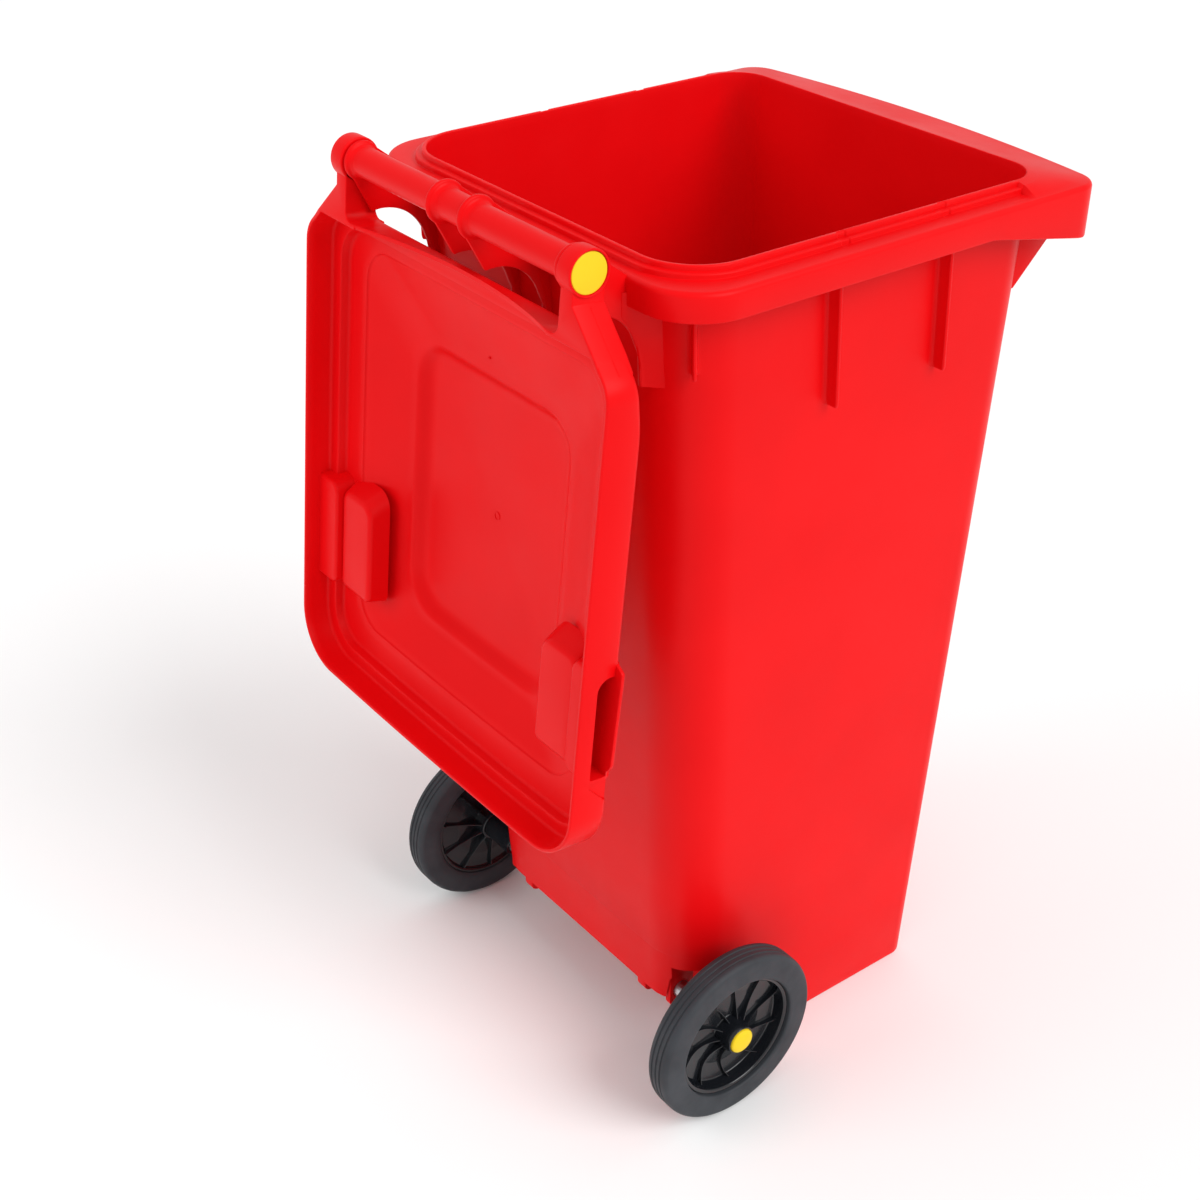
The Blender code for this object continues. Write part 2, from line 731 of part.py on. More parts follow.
def make_wheel(label, side, materials):
    """One wheel with all that goes with it on its end of the axle."""
    hub = add_empty("wheel_axis_" + label, (0.0, AXLE_Y, AXLE_Z))
    tyre = add_object("tyre_" + label, turned(tyre_profile(), side, 36), materials["rubber"], hub)
    centre = add_object("wheel_centre_" + label, turned(centre_profile(BUSH_RADIUS), side, 30),
                        materials["black"], hub)
    for index in range(SPOKES):
        join(centre, spoke(side, index))
    bush_profile = [
        (HUB_INNER_FACE + GAP, AXLE_RADIUS + GAP),
        (HUB_OUTER_FACE - GAP, AXLE_RADIUS + GAP),
        (HUB_OUTER_FACE - GAP, BUSH_RADIUS - GAP),
        (HUB_INNER_FACE + GAP, BUSH_RADIUS - GAP),
    ]
    bush = add_object("wheel_bush_" + label, turned(bush_profile, side, 20), materials["nylon"], hub)
    mouth = HUB_OUTER_FACE + GAP
    crown = CAP_CROWN
    cap_profile = [
        (crown - 0.0024, 0.0012),
        (crown - 0.0028, CAP_BORE - 0.0015),
        (crown - 0.0040, CAP_BORE),
        (mouth, CAP_BORE),
        (mouth, CAP_RADIUS),
        (crown - 0.0024, CAP_RADIUS),
        (crown - 0.0008, CAP_RADIUS - 0.0020),
        (crown - 0.0002, CAP_RADIUS / 2),
        (crown, 0.0012),
    ]
    cap = add_object("hub_cap_" + label, turned_solid(cap_profile, side, 24), materials["yellow"], hub)
    spacer_profile = [
        (HOUSING_END + GAP, AXLE_RADIUS + GAP),
        (HUB_INNER_FACE - GAP, AXLE_RADIUS + GAP),
        (HUB_INNER_FACE - GAP, SPACER_RADIUS),
        (HOUSING_END + GAP, SPACER_RADIUS),
    ]
    spacer = add_object("axle_spacer_" + label, turned(spacer_profile, side, 20), materials["black"], hub)
    washer = HUB_OUTER_FACE + GAP
    washer_profile = [
        (washer, AXLE_RADIUS + GAP),
        (washer + WASHER, AXLE_RADIUS + GAP),
        (washer + WASHER, CAP_BORE - 0.0004),
        (washer, CAP_BORE - 0.0004),
    ]
    thrust = add_object("thrust_washer_" + label, turned(washer_profile, side, 20), materials["steel"], hub)
    ring = washer + WASHER + GAP
    ring_profile = [
        (ring, AXLE_RADIUS + GAP),
        (ring + 0.0016, AXLE_RADIUS + GAP),
        (ring + 0.0008, CAP_BORE - 0.0008),
        (ring, CAP_BORE - 0.0008),
    ]
    lock = add_object("lock_ring_" + label, turned(ring_profile, side, 20), materials["steel"], hub)
    for made in (tyre, centre, bush, cap, spacer, thrust, lock):
        shade(made)


def main():
    clear_scene()
    materials = {
        "red": make_material("red_plastic", RED, 0.35),
        "yellow": make_material("yellow_plastic", YELLOW, 0.40),
        "black": make_material("black_plastic", BLACK, 0.18),
        "rubber": make_material("tyre_rubber", RUBBER, 0.60),
        "steel": make_material("zinc_steel", STEEL, 0.35, 1.0),
        "nylon": make_material("bearing_nylon", NYLON, 0.45),
    }
    make_tub(materials["red"])
    hinge = add_empty("lid_hinge", (0.0, HINGE_Y, HINGE_Z), LID_TILT)
    make_lid(materials["red"], hinge)
    make_axle(materials["steel"])
    for label, side in (("right", -1), ("left", 1)):
        make_pin("hinge_pin_" + label, side, materials["yellow"])
        make_wheel(label, side, materials)


main()
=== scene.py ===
import json
from math import atan2, cos, pi, radians, sin, sqrt, tan

import bmesh
import bpy
from mathutils import Matrix, Vector


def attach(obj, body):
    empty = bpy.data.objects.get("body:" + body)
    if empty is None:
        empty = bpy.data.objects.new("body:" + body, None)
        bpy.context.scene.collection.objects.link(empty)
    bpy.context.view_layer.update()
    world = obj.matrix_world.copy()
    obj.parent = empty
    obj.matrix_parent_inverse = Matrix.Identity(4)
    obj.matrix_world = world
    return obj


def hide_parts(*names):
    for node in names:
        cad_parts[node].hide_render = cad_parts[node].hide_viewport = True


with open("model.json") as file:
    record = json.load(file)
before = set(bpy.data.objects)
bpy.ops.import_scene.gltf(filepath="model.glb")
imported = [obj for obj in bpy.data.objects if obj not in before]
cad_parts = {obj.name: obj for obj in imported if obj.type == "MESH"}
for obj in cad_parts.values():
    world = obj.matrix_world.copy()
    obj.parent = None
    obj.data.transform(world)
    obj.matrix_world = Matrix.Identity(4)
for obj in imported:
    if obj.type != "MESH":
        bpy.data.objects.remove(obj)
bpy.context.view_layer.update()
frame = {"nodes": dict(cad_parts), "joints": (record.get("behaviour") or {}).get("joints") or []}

# Places from the frame.
JOINTS = {joint["name"]: Vector(joint["pos_m"]) for joint in frame["joints"]}
HINGE = JOINTS["lid_hinge"]
AXLE = JOINTS["wheel_left_spin"]
LID_TILT = radians(5.3)

# Tub body, as in the CAD part: size at the ground and growth per metre of height.
TUB_HALF_WIDTH = 0.172
TUB_FRONT = -0.202
TUB_REAR = 0.1384
SIDE_DRAFT = 0.0434
FRONT_DRAFT = 0.0253
REAR_DRAFT = 0.0722
WALL = 0.004
FOOT_RADIUS = 0.004
FLOOR_RADIUS = 0.015
FRONT_CORNER = (0.020, 0.040)
REAR_CORNER = (0.055, 0.060)
CREASE_TOP = 0.160
CREASE_DEPTH = 0.0009

# Rim.
RIM_TOP = 0.9407
RIM_HALF_WIDTH = 0.2405
RIM_REAR = 0.226
RIM_FRONT = -0.2705
RIM_BOW = 0.0195
RIM_FRONT_CORNER = 0.025
RIM_REAR_CORNER = 0.057
RIM_EDGE = 0.005
LIP_TOP = 0.9507
LIP_STEP = 0.9457
LIP_WIDTH = 0.0045
STEP_WIDTH = 0.0105
LIP_EDGE = 0.0012
SKIRT_BOTTOM = 0.9139
COMB_BOTTOM = 0.8880
COMB_START = -0.130
COMB_END = -0.258
COMB_RISE = 0.050
COMB_SIDE_END = -0.183
RIM_THICKNESS = 0.004
RIM_ROOT = 0.006
NOTCHES = (-0.0860, 0.0350)
NOTCH_HALF = 0.0042
NOTCH_RAMP = 0.0013
NOTCH_IN = 0.0012
NOTCH_DOWN = 0.0007
SIDE_STATIONS = (-0.1845, -0.1815, -0.150, -0.130, -0.110, -0.060, -0.030, 0.0, 0.070, 0.095, 0.120)

# Handle bar, brackets and ribs.
BAR_RADIUS = 0.0140
BAR_END = 0.1622
COLLAR_RADIUS = 0.0185
COLLAR_WIDTH = 0.0052
COLLAR_X = BAR_END - COLLAR_WIDTH / 2
CENTRE_RING_X = 0.024
CENTRE_RING_RADIUS = 0.0200
PLATE = 0.004
BRACKET_FOOT = 0.836
ARCH_CENTRE = (0.2615, 0.8620)
ARCH_RADIUS = 0.0500
ARCH_FOOT = 0.8660
BRACKET_EDGE = 0.2075
SIDE_RIBS = ((0.035, 0.788), (-0.100, 0.788))
SIDE_RIB_DEPTHS = (0.0135, 0.0146)
SIDE_RIB_LEAN = 0.10
SIDE_RIB_PIVOT = 0.05
CORNER_RIB_ANGLE = radians(39)
CORNER_RIB_FOOT = 0.852
CORNER_RIB_DEPTHS = (0.0150, 0.0100)
WEDGE_X = 0.1765
COMB_RIBS = (0.195, 0.060)
COMB_RIB_FOOT = 0.835
RIB_TOP = RIM_TOP - 0.003

# Lid, in its own plane: s runs from the hinge line to the free edge, n from the outside to the inside.
LID_HALF_WIDTH = 0.2345
LID_START = 0.055
LID_END = 0.541
LID_BOW = 0.004
LID_CHAMFER = 0.025
LID_CORNER = 0.055
CHAMFER_RADII = (0.030, 0.012)
SKIRT_EDGE = 0.0145
HINGE_SKIRT = -0.0065
HINGE_SKIRT_RISE = 0.95
HINGE_THINNING = 0.0065
SKIRT_WIDTH = 0.010
ARM_ROOT = 0.1475
LUG_INNER = 0.1635
LUG_OUTER = 0.1815
LUG_RADIUS = 0.0205
ARM_DEPTH = -0.018
# The chamfer's line is x = CHAMFER_LINE + s.
CHAMFER_LINE = LID_HALF_WIDTH - LID_CHAMFER - LID_START
GRIP_START = 0.336
GRIP_END = 0.452
GRIP_MIDDLE = 0.197
GRIP_INNER = 0.147
GRIP_LIP = 0.0085

# Pins, axle and wheels.
PIN_RADIUS = 0.0080
PIN_INNER = 0.126
PIN_HEAD_RADIUS = 0.0178
PIN_HEAD_INNER = 0.1772
PIN_HEAD_OUTER = 0.1808
AXLE_RADIUS = 0.010
HOUSING_BOTTOM = 0.0925
HOUSING_ROOF = 0.124
HOOK_X = 0.105
HOOK_WIDTH = 0.014
HOOK_BOTTOM = 0.0790
HOOK_FRONT = 0.1060
HOOK_REAR = 0.1440
HOOK_CORNER = 0.0090
END_HOOK_X = 0.1430
END_HOOK_WIDTH = 0.008
END_HOOK_REAR = 0.1380
BAY_FRONT = 0.035
BAY_SHOULDER = 0.085
WELL_FRONT = 0.062
WELL_SIDE = 0.150
WELL_TOP = 0.140
WHEEL_RADIUS = 0.100
TYRE_INNER_RADIUS = 0.0713
TYRE_INNER_FACE = 0.2115
TYRE_OUTER_FACE = 0.2428
HUB_RADIUS = 0.0170
HUB_INNER_FACE = 0.2030
HUB_OUTER_FACE = 0.2385
WEB = 0.2190
CAP_RADIUS = 0.0140
CAP_CROWN = 0.2486
CAP_BORE = 0.0130
CAP_SEAT = 0.0144
BUSH_RADIUS = 0.0128
SPOKES = 10
SPOKE_SWEEP = radians(19)
SPOKE_REACH = (HUB_RADIUS - 0.002, TYRE_INNER_RADIUS - 0.0055)
GAP = 0.0003


# Materials


def new_material(name, drift, dark, light):
    """A material whose colour drifts between two tones with a noise."""
    material = bpy.data.materials.new(name)
    material.use_nodes = True
    tree = material.node_tree
    shader = tree.nodes["Principled BSDF"]
    ramp = tree.nodes.new("ShaderNodeValToRGB")
    ramp.color_ramp.elements[0].position = 0.3
    ramp.color_ramp.elements[0].color = (*dark, 1.0)
    ramp.color_ramp.elements[1].position = 0.7
    ramp.color_ramp.elements[1].color = (*light, 1.0)
    tree.links.new(noise(tree, *drift), ramp.inputs["Fac"])
    tree.links.new(ramp.outputs["Color"], shader.inputs["Base Color"])
    return material, tree, shader


def noise(tree, scale, detail, roughness=0.5):
    place = tree.nodes.new("ShaderNodeTexCoord")
    made = tree.nodes.new("ShaderNodeTexNoise")
    made.inputs["Scale"].default_value = scale
    made.inputs["Detail"].default_value = detail
    made.inputs["Roughness"].default_value = roughness
    tree.links.new(place.outputs["Object"], made.inputs["Vector"])
    return made.outputs["Fac"]


def uneven_gloss(tree, shader, gloss, low, high):
    """A roughness that drifts between two values with a noise."""
    made = tree.nodes.new("ShaderNodeMapRange")
    for name, value in (("From Min", 0.3), ("From Max", 0.7), ("To Min", low), ("To Max", high)):
        made.inputs[name].default_value = value
    tree.links.new(noise(tree, *gloss), made.inputs["Value"])
    tree.links.new(made.outputs["Result"], shader.inputs["Roughness"])


def grain(tree, shader, scale, depth):
    """A fine bump over the whole surface."""
    bump = tree.nodes.new("ShaderNodeBump")
    bump.inputs["Strength"].default_value = 1.0
    bump.inputs["Distance"].default_value = depth
    tree.links.new(noise(tree, scale, 2.0), bump.inputs["Height"])
    tree.links.new(bump.outputs["Normal"], shader.inputs["Normal"])


def moulded_plastic(name, dark, light, roughness, specular):
    """Injection-moulded plastic: a slow drift of colour and gloss, and a fine grain."""
    material, tree, shader = new_material(name, (6.0, 4.0), dark, light)
    uneven_gloss(tree, shader, (14.0, 5.0, 0.6), *roughness)
    shader.inputs["Specular IOR Level"].default_value = specular
    grain(tree, shader, 900.0, 0.00003)
    return material


def tyre_rubber():
    tones = (0.020, 0.023, 0.028), (0.034, 0.038, 0.045)
    material, tree, shader = new_material("tyre_rubber", (20.0, 4.0), *tones)
    uneven_gloss(tree, shader, (60.0, 3.0), 0.50, 0.66)
    shader.inputs["Specular IOR Level"].default_value = 0.35
    grain(tree, shader, 1200.0, 0.00006)
    return material


def zinc_steel():
    tones = (0.48, 0.49, 0.51), (0.60, 0.61, 0.63)
    material, tree, shader = new_material("zinc_steel", (90.0, 4.0), *tones)
    uneven_gloss(tree, shader, (90.0, 4.0), 0.28, 0.42)
    shader.inputs["Metallic"].default_value = 1.0
    return material


def floor_finish():
    tones = (0.88, 0.88, 0.88), (0.90, 0.90, 0.90)
    material, _, shader = new_material("floor_paint", (0.8, 2.0), *tones)
    shader.inputs["Roughness"].default_value = 0.9
    shader.inputs["Specular IOR Level"].default_value = 0.1
    return material


def make_materials():
    made = {"tyre_rubber": tyre_rubber(), "zinc_steel": zinc_steel()}
    for name, dark, light, roughness, specular in (
            ("red_plastic", (0.70, 0.0016, 0.0032), (0.76, 0.0028, 0.0045), (0.32, 0.42), 0.09),
            ("yellow_plastic", (0.76, 0.53, 0.006), (0.80, 0.57, 0.010), (0.42, 0.55), 0.25),
            ("black_plastic", (0.006, 0.007, 0.009), (0.009, 0.010, 0.013), (0.12, 0.20), 0.5),
            ("bearing_nylon", (0.66, 0.65, 0.60), (0.72, 0.71, 0.66), (0.40, 0.50), 0.5)):
        made[name] = moulded_plastic(name, dark, light, roughness, specular)
    return made


# Shapes


def add_object(name, data):
    made = bpy.data.objects.new(name, data)
    bpy.context.scene.collection.objects.link(made)
    return made


def add_mesh(name, body):
    bmesh.ops.recalc_face_normals(body, faces=body.faces)
    mesh = bpy.data.meshes.new(name)
    body.to_mesh(mesh)
    body.free()
    return add_object(name, mesh)


def finish_piece(made, slot, body, nodes=(), place=None, angle=32.0):
    """Shades a piece, gives it its material and place, and lets it ride on its body."""
    made.data.materials.clear()
    made.data.materials.append(MATERIALS[slot])
    made.data.shade_smooth()
    made.data.set_sharp_from_angle(angle=radians(angle))
    if place is not None:
        made.matrix_world = place
    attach(made, body)
    if nodes:
        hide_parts(*nodes)


def loft(rings, closed=False):
    """A body through rings of equally many points, capped at both ends, or joined end to end."""
    body = bmesh.new()
    made = []
    for ring in rings:
        made.append([body.verts.new(point) for point in ring])
    count = len(made[0])
    pairs = list(zip(made, made[1:]))
    if closed:
        pairs.append((made[-1], made[0]))
    for lower, upper in pairs:
        for k in range(count):
            after = (k + 1) % count
            body.faces.new((lower[k], lower[after], upper[after], upper[k]))
    if not closed:
        body.faces.new(list(reversed(made[0])))
        body.faces.new(made[-1])
    return body


def mix(first, last, share):
    return first + (last - first) * share


def between(first, last, count):
    """The rings at equal steps between two rings, without the two themselves."""
    rings = []
    for k in range(1, count):
        rings.append([a.lerp(b, k / count) for a, b in zip(first, last)])
    return rings


def arc(centre, radius, start, end, steps):
    points = []
    for k in range(steps + 1):
        angle = mix(start, end, k / steps)
        points.append(Vector((centre[0] + radius * cos(angle), centre[1] + radius * sin(angle))))
    return points


def resample(points, count):
    """count + 1 points at equal steps along a line of points."""
    lengths = [0.0]
    for a, b in zip(points, points[1:]):
        lengths.append(lengths[-1] + (b - a).length)
    made = []
    index = 0
    for k in range(count + 1):
        goal = lengths[-1] * k / count
        while index < len(points) - 2 and lengths[index + 1] < goal:
            index += 1
        span = lengths[index + 1] - lengths[index]
        share = (goal - lengths[index]) / span if span > 1e-9 else 0.0
        made.append(points[index].lerp(points[index + 1], min(max(share, 0.0), 1.0)))
    return made


def bend(first, corner, last, radius, steps=16):
    """A rounded corner between two points, as a line of points."""
    radius = max(min(radius, (first - corner).length, (last - corner).length), 1e-5)
    back = (first - corner).normalized()
    ahead = (last - corner).normalized()
    half = back.angle(ahead) / 2
    reach = radius / tan(half)
    centre = corner + (back + ahead).normalized() * radius / sin(half)
    start = corner + back * reach - centre
    stop = corner + ahead * reach - centre
    first_angle = atan2(start.y, start.x)
    sweep = atan2(stop.y, stop.x) - first_angle
    sweep = (sweep + pi) % (2 * pi) - pi
    return arc(centre, radius, first_angle, first_angle + sweep, steps)


def fillet(corners, radii, steps=6):
    """An outline with each corner rounded."""
    points = []
    for index, corner in enumerate(corners):
        before = Vector(corners[index - 1])
        after = Vector(corners[(index + 1) % len(corners)])
        here = Vector(corner)
        if radii[index] > 0:
            points.extend(bend(before, here, after, radii[index], steps))
        else:
            points.append(here)
    return points


def circle(segments):
    """The cosine and sine of equal steps round a full turn."""
    angles = [2 * pi * k / segments for k in range(segments)]
    return [(cos(angle), sin(angle)) for angle in angles]


def quarter(steps):
    """1 - cosine and 1 - sine of equal steps through a quarter turn, for a rounded edge."""
    angles = [pi / 2 * k / steps for k in range(steps + 1)]
    return [(1 - cos(angle), 1 - sin(angle)) for angle in angles]


def turned(profile, side, segments, closed=False):
    """Turns a profile of (distance along X, radius) about the X axis."""
    rings = []
    for x, r in profile:
        rings.append([Vector((side * x, r * c, r * s)) for c, s in circle(segments)])
    return loft(rings, closed)


def soften(profile, radius, steps=3, ends=False):
    """Rounds the corners of an open or closed profile of (distance, radius) points."""
    points = [Vector(point) for point in profile]
    made = []
    count = len(points)
    for index, here in enumerate(points):
        if not ends and index in (0, count - 1):
            made.append(here)
            continue
        before = points[index - 1]
        after = points[(index + 1) % count]
        reach = min(radius, (before - here).length * 0.45, (after - here).length * 0.45)
        angle = (before - here).angle(after - here)
        if angle > radians(172):
            made.append(here)
            continue
        made.extend(bend(before, here, after, reach * tan(angle / 2), steps))
    return [(point.x, point.y) for point in made]


def bevelled(body, width, segments=2, angle=radians(40)):
    """Rounds every edge sharper than the angle."""
    bmesh.ops.recalc_face_normals(body, faces=body.faces)
    edges = []
    for edge in body.edges:
        if len(edge.link_faces) == 2 and edge.calc_face_angle(0.0) > angle:
            edges.append(edge)
    bmesh.ops.bevel(body, geom=edges, offset=width, offset_type="OFFSET", segments=segments,
                    profile=0.5, affect="EDGES", clamp_overlap=True)
    return body


def plate(outline, place, low, high, edge=0.0, segments=2):
    """A flat plate from an outline, with rounded edges; place(u, v, w) gives a point at depth w."""
    body = loft([[place(u, v, low) for u, v in outline], [place(u, v, high) for u, v in outline]])
    if edge:
        bevelled(body, edge, segments)
    return body


def across(y, z, x):
    return Vector((x, y, z))


def in_lid(x, s, n):
    return Vector((x, n, -s))


def combine(target, tool, operation):
    modifier = target.modifiers.new("join", "BOOLEAN")
    modifier.operation = operation
    modifier.solver = "EXACT"
    modifier.object = tool
    graph = bpy.context.evaluated_depsgraph_get()
    result = bpy.data.meshes.new_from_object(target.evaluated_get(graph))
    target.modifiers.remove(modifier)
    target.data = result
    bpy.data.objects.remove(tool, do_unlink=True)


def merged(name, bodies):
    """Several bodies in one mesh, each still closed."""
    whole = bmesh.new()
    for body in bodies:
        mesh = bpy.data.meshes.new("part")
        bmesh.ops.recalc_face_normals(body, faces=body.faces)
        body.to_mesh(mesh)
        body.free()
        whole.from_mesh(mesh)
        bpy.data.meshes.remove(mesh)
    mesh = bpy.data.meshes.new(name)
    whole.to_mesh(mesh)
    whole.free()
    return add_object(name, mesh)


# Tub


def tub_size(z, inset=0.0):
    """Half width, front and rear of the body at a height."""
    half = TUB_HALF_WIDTH + SIDE_DRAFT * z - inset
    front = TUB_FRONT - FRONT_DRAFT * z + inset
    rear = TUB_REAR + REAR_DRAFT * z - inset
    return half, front, rear


def tub_corner(z, sizes):
    return sizes[0] + (sizes[1] - sizes[0]) * z / RIM_TOP


def side_stations():
    """Where the rings have points along the side, at the rim, with the ends of each notch among them."""
    stations = list(SIDE_STATIONS)
    for y in NOTCHES:
        for reach in (NOTCH_HALF, NOTCH_HALF + NOTCH_RAMP):
            stations += [y - reach, y + reach]
    return sorted(stations)


STATIONS = side_stations()
FRONT_STEPS = 14
CORNER_STEPS = 36
REAR_CORNER_STEPS = 22
REAR_STEPS = 12


def half_loop(half, front, rear, corners, ends, bow):
    """From the middle of the front round one side to the middle of the rear, as (x, y, comb, notch)."""
    near, far, front_x, rear_x = ends
    middle = Vector((0.0, front))
    corner_start = Vector((front_x, front))
    side_start = Vector((half, near))
    run = [corner_start] + bend(middle, Vector((half, front)), side_start, corners[0]) + [side_start]
    points = resample([middle, corner_start], FRONT_STEPS)[:-1] + resample(run, CORNER_STEPS)
    loop = []
    for point in points:
        loop.append((point.x, point.y - bow * (1 - (point.x / half) ** 2), 1.0, 0.0))
    top_near = tub_size(RIM_TOP)[1] + FRONT_CORNER[1]
    top_far = tub_size(RIM_TOP)[2] - REAR_CORNER[1]
    for y in STATIONS:
        share = (y - top_near) / (top_far - top_near)
        comb = 1.0 if y < COMB_SIDE_END else 0.0
        nearest = min(abs(y - place) for place in NOTCHES)
        notch = 1.0 if nearest < NOTCH_HALF + NOTCH_RAMP / 2 else 0.0
        loop.append((half, mix(near, far, share), comb, notch))
    side_end = Vector((half, far))
    corner_end = Vector((rear_x, rear))
    middle = Vector((0.0, rear))
    run = [side_end] + bend(side_end, Vector((half, rear)), middle, corners[1]) + [corner_end]
    points = resample(run, REAR_CORNER_STEPS) + resample([corner_end, middle], REAR_STEPS)[1:]
    return loop + [(point.x, point.y, 0.0, 0.0) for point in points]


def full_ring(loop, height):
    """Mirrors a half loop; height(y, comb, notch) gives the height of each point."""
    ring = [Vector((x, y, height(y, comb, notch))) for x, y, comb, notch in loop]
    return ring + [Vector((-point.x, point.y, point.z)) for point in reversed(ring[1:-1])]


def run_ends(z):
    """Where the straight parts of the side, front and rear end at a height."""
    half, front, rear = tub_size(z)
    front_radius = tub_corner(z, FRONT_CORNER)
    rear_radius = tub_corner(z, REAR_CORNER)
    return front + front_radius, rear - rear_radius, half - front_radius, half - rear_radius


def body_ring(z, inset=0.0, rear_inset=0.0):
    """A ring of the body at a height, that far inside its outer face."""
    half, front, rear = tub_size(z, inset)
    corners = (max(tub_corner(z, FRONT_CORNER) - inset, 0.003), tub_corner(z, REAR_CORNER) - inset)
    loop = half_loop(half, front, rear - rear_inset, corners, run_ends(z), 0.0)
    return full_ring(loop, lambda y, comb, notch: z)


def comb_height(share):
    """The comb's top: level with the lip at the opening and with the rim at its outer edge."""
    return RIM_TOP + (LIP_TOP - RIM_TOP) * (1 - share)


def lip_ring(out, z, notched=False):
    """A ring round the opening, that far outside the inner wall; the comb covers it at the front."""
    half, front, rear = tub_size(RIM_TOP, WALL - out)
    corners = (FRONT_CORNER[1] - WALL + out, REAR_CORNER[1] - WALL + out)
    loop = half_loop(half, front, rear, corners, run_ends(RIM_TOP), 0.0)
    if notched:
        loop = [(x - NOTCH_IN * notch, y, comb, notch) for x, y, comb, notch in loop]
    drop = NOTCH_DOWN if notched else 0.0
    edge = min(z - LIP_TOP, 0.0) if out < 0.002 else 0.0
    high = comb_height(out / COMB_RISE) + edge
    return full_ring(loop, lambda y, comb, notch: high if comb else z - drop * notch)


def rim_ring(inset, height):
    """A ring of the rim; height(y) gives the height of each point."""
    corners = (max(RIM_FRONT_CORNER - inset, 0.010), RIM_REAR_CORNER - inset)
    ends = run_ends(RIM_TOP)
    loop = half_loop(RIM_HALF_WIDTH - inset, RIM_FRONT + inset, RIM_REAR - inset, corners, ends, RIM_BOW)
    return full_ring(loop, lambda y, comb, notch: height(y))


def skirt_height(y):
    """The skirt's lower edge, which drops to the comb's along the side."""
    share = (COMB_START - y) / (COMB_START - COMB_END)
    return mix(SKIRT_BOTTOM, COMB_BOTTOM, min(max(share, 0.0), 1.0))


def wall_rings():
    """The outer face from the ground to the underside of the rim."""
    rings = []
    for flat, upright in quarter(4):
        rings.append(body_ring(FOOT_RADIUS * flat, FOOT_RADIUS * upright, CREASE_DEPTH))
    for z, depth in ((0.080, 1.0), (CREASE_TOP - 0.003, 1.0), (CREASE_TOP - 0.001, 0.5)):
        rings.append(body_ring(z, 0.0, CREASE_DEPTH * depth))
    for z in (CREASE_TOP, 0.24, 0.34, 0.44, 0.54, 0.64, 0.74, 0.82, 0.88, 0.915):
        rings.append(body_ring(z))
    for flat, upright in quarter(4):
        rings.append(body_ring(RIM_TOP - RIM_THICKNESS - RIM_ROOT * upright, -RIM_ROOT * flat))
    return rings


def rim_rings():
    """Out under the rim, round the skirt and in over the top to the lip."""
    rings = [rim_ring(RIM_THICKNESS + 0.001, lambda y: RIM_TOP - RIM_THICKNESS)]
    for inset, up in ((0.0046, 0.0020), (0.0040, 0.0006), (0.0028, 0.0), (0.0018, 0.0),
                      (0.0008, 0.0005), (0.0003, 0.0018)):
        rings.append(rim_ring(inset, lambda y: skirt_height(y) + up))
    for flat, upright in quarter(7):
        rings.append(rim_ring(RIM_EDGE * flat, lambda y: RIM_TOP - RIM_EDGE * upright))
    foot = lip_ring(STEP_WIDTH + 0.0012, RIM_TOP)
    rings += between(rings[-1], foot, 4) + [foot]
    rings += ledge(STEP_WIDTH, LIP_STEP, 0.0013, ((0.0003, RIM_TOP + 0.0004), (0.0, RIM_TOP + 0.0012)))
    rings.append(lip_ring(LIP_WIDTH + 0.0010, LIP_STEP))
    rings += ledge(LIP_WIDTH, LIP_TOP, 0.0014, ((0.0002, LIP_STEP + 0.0004),))
    for flat, upright in quarter(3):
        rings.append(lip_ring(LIP_EDGE * upright, LIP_TOP - LIP_EDGE * flat))
    return rings


def ledge(width, top, edge, foot):
    """Up a ledge round the opening and over its rounded edge; foot holds (extra width, height) pairs."""
    rings = [lip_ring(width + extra, z, True) for extra, z in foot]
    for flat, upright in quarter(3):
        rings.append(lip_ring(width - edge * flat, top - edge * upright, True))
    return rings


def inner_rings():
    """The inner face from the rim down to the floor."""
    rings = []
    for z in (0.940, 0.90, 0.80, 0.70, 0.60, 0.50, 0.40, 0.30, 0.20, 0.10, 0.04):
        rings.append(body_ring(z, WALL))
    for flat, upright in quarter(6):
        rings.append(body_ring(WALL + 0.001 + FLOOR_RADIUS * upright, WALL + FLOOR_RADIUS * flat))
    return rings


def bay_outline(skin):
    """The space under the rear of the tub for the axle, in Y and Z, grown by a skin."""
    front = BAY_FRONT - skin
    roof = HOUSING_ROOF + skin
    outline = [(front, -0.02), (front, BAY_SHOULDER + skin / 2), (BAY_FRONT + 0.025 - skin / 2, roof)]
    if skin:
        return fillet(outline + [(0.30, roof), (0.30, -0.02)], (0, 0.012, 0.012, 0, 0), 5)
    back = tub_size(HOUSING_BOTTOM)[2] - WALL - 0.001
    outline += [(back, roof), (back, HOUSING_BOTTOM), (0.30, HOUSING_BOTTOM), (0.30, -0.02)]
    return fillet(outline, (0, 0.010, 0.010, 0.002, 0.0012, 0, 0), 5)


def well_block(side, skin):
    front = WELL_FRONT - skin
    top = WELL_TOP + skin
    outline = fillet([(front, -0.02), (front, top), (0.30, top), (0.30, -0.02)], (0, 0.012, 0, 0), 5)
    return plate(outline, across, side * (WELL_SIDE - skin), side * 0.30)


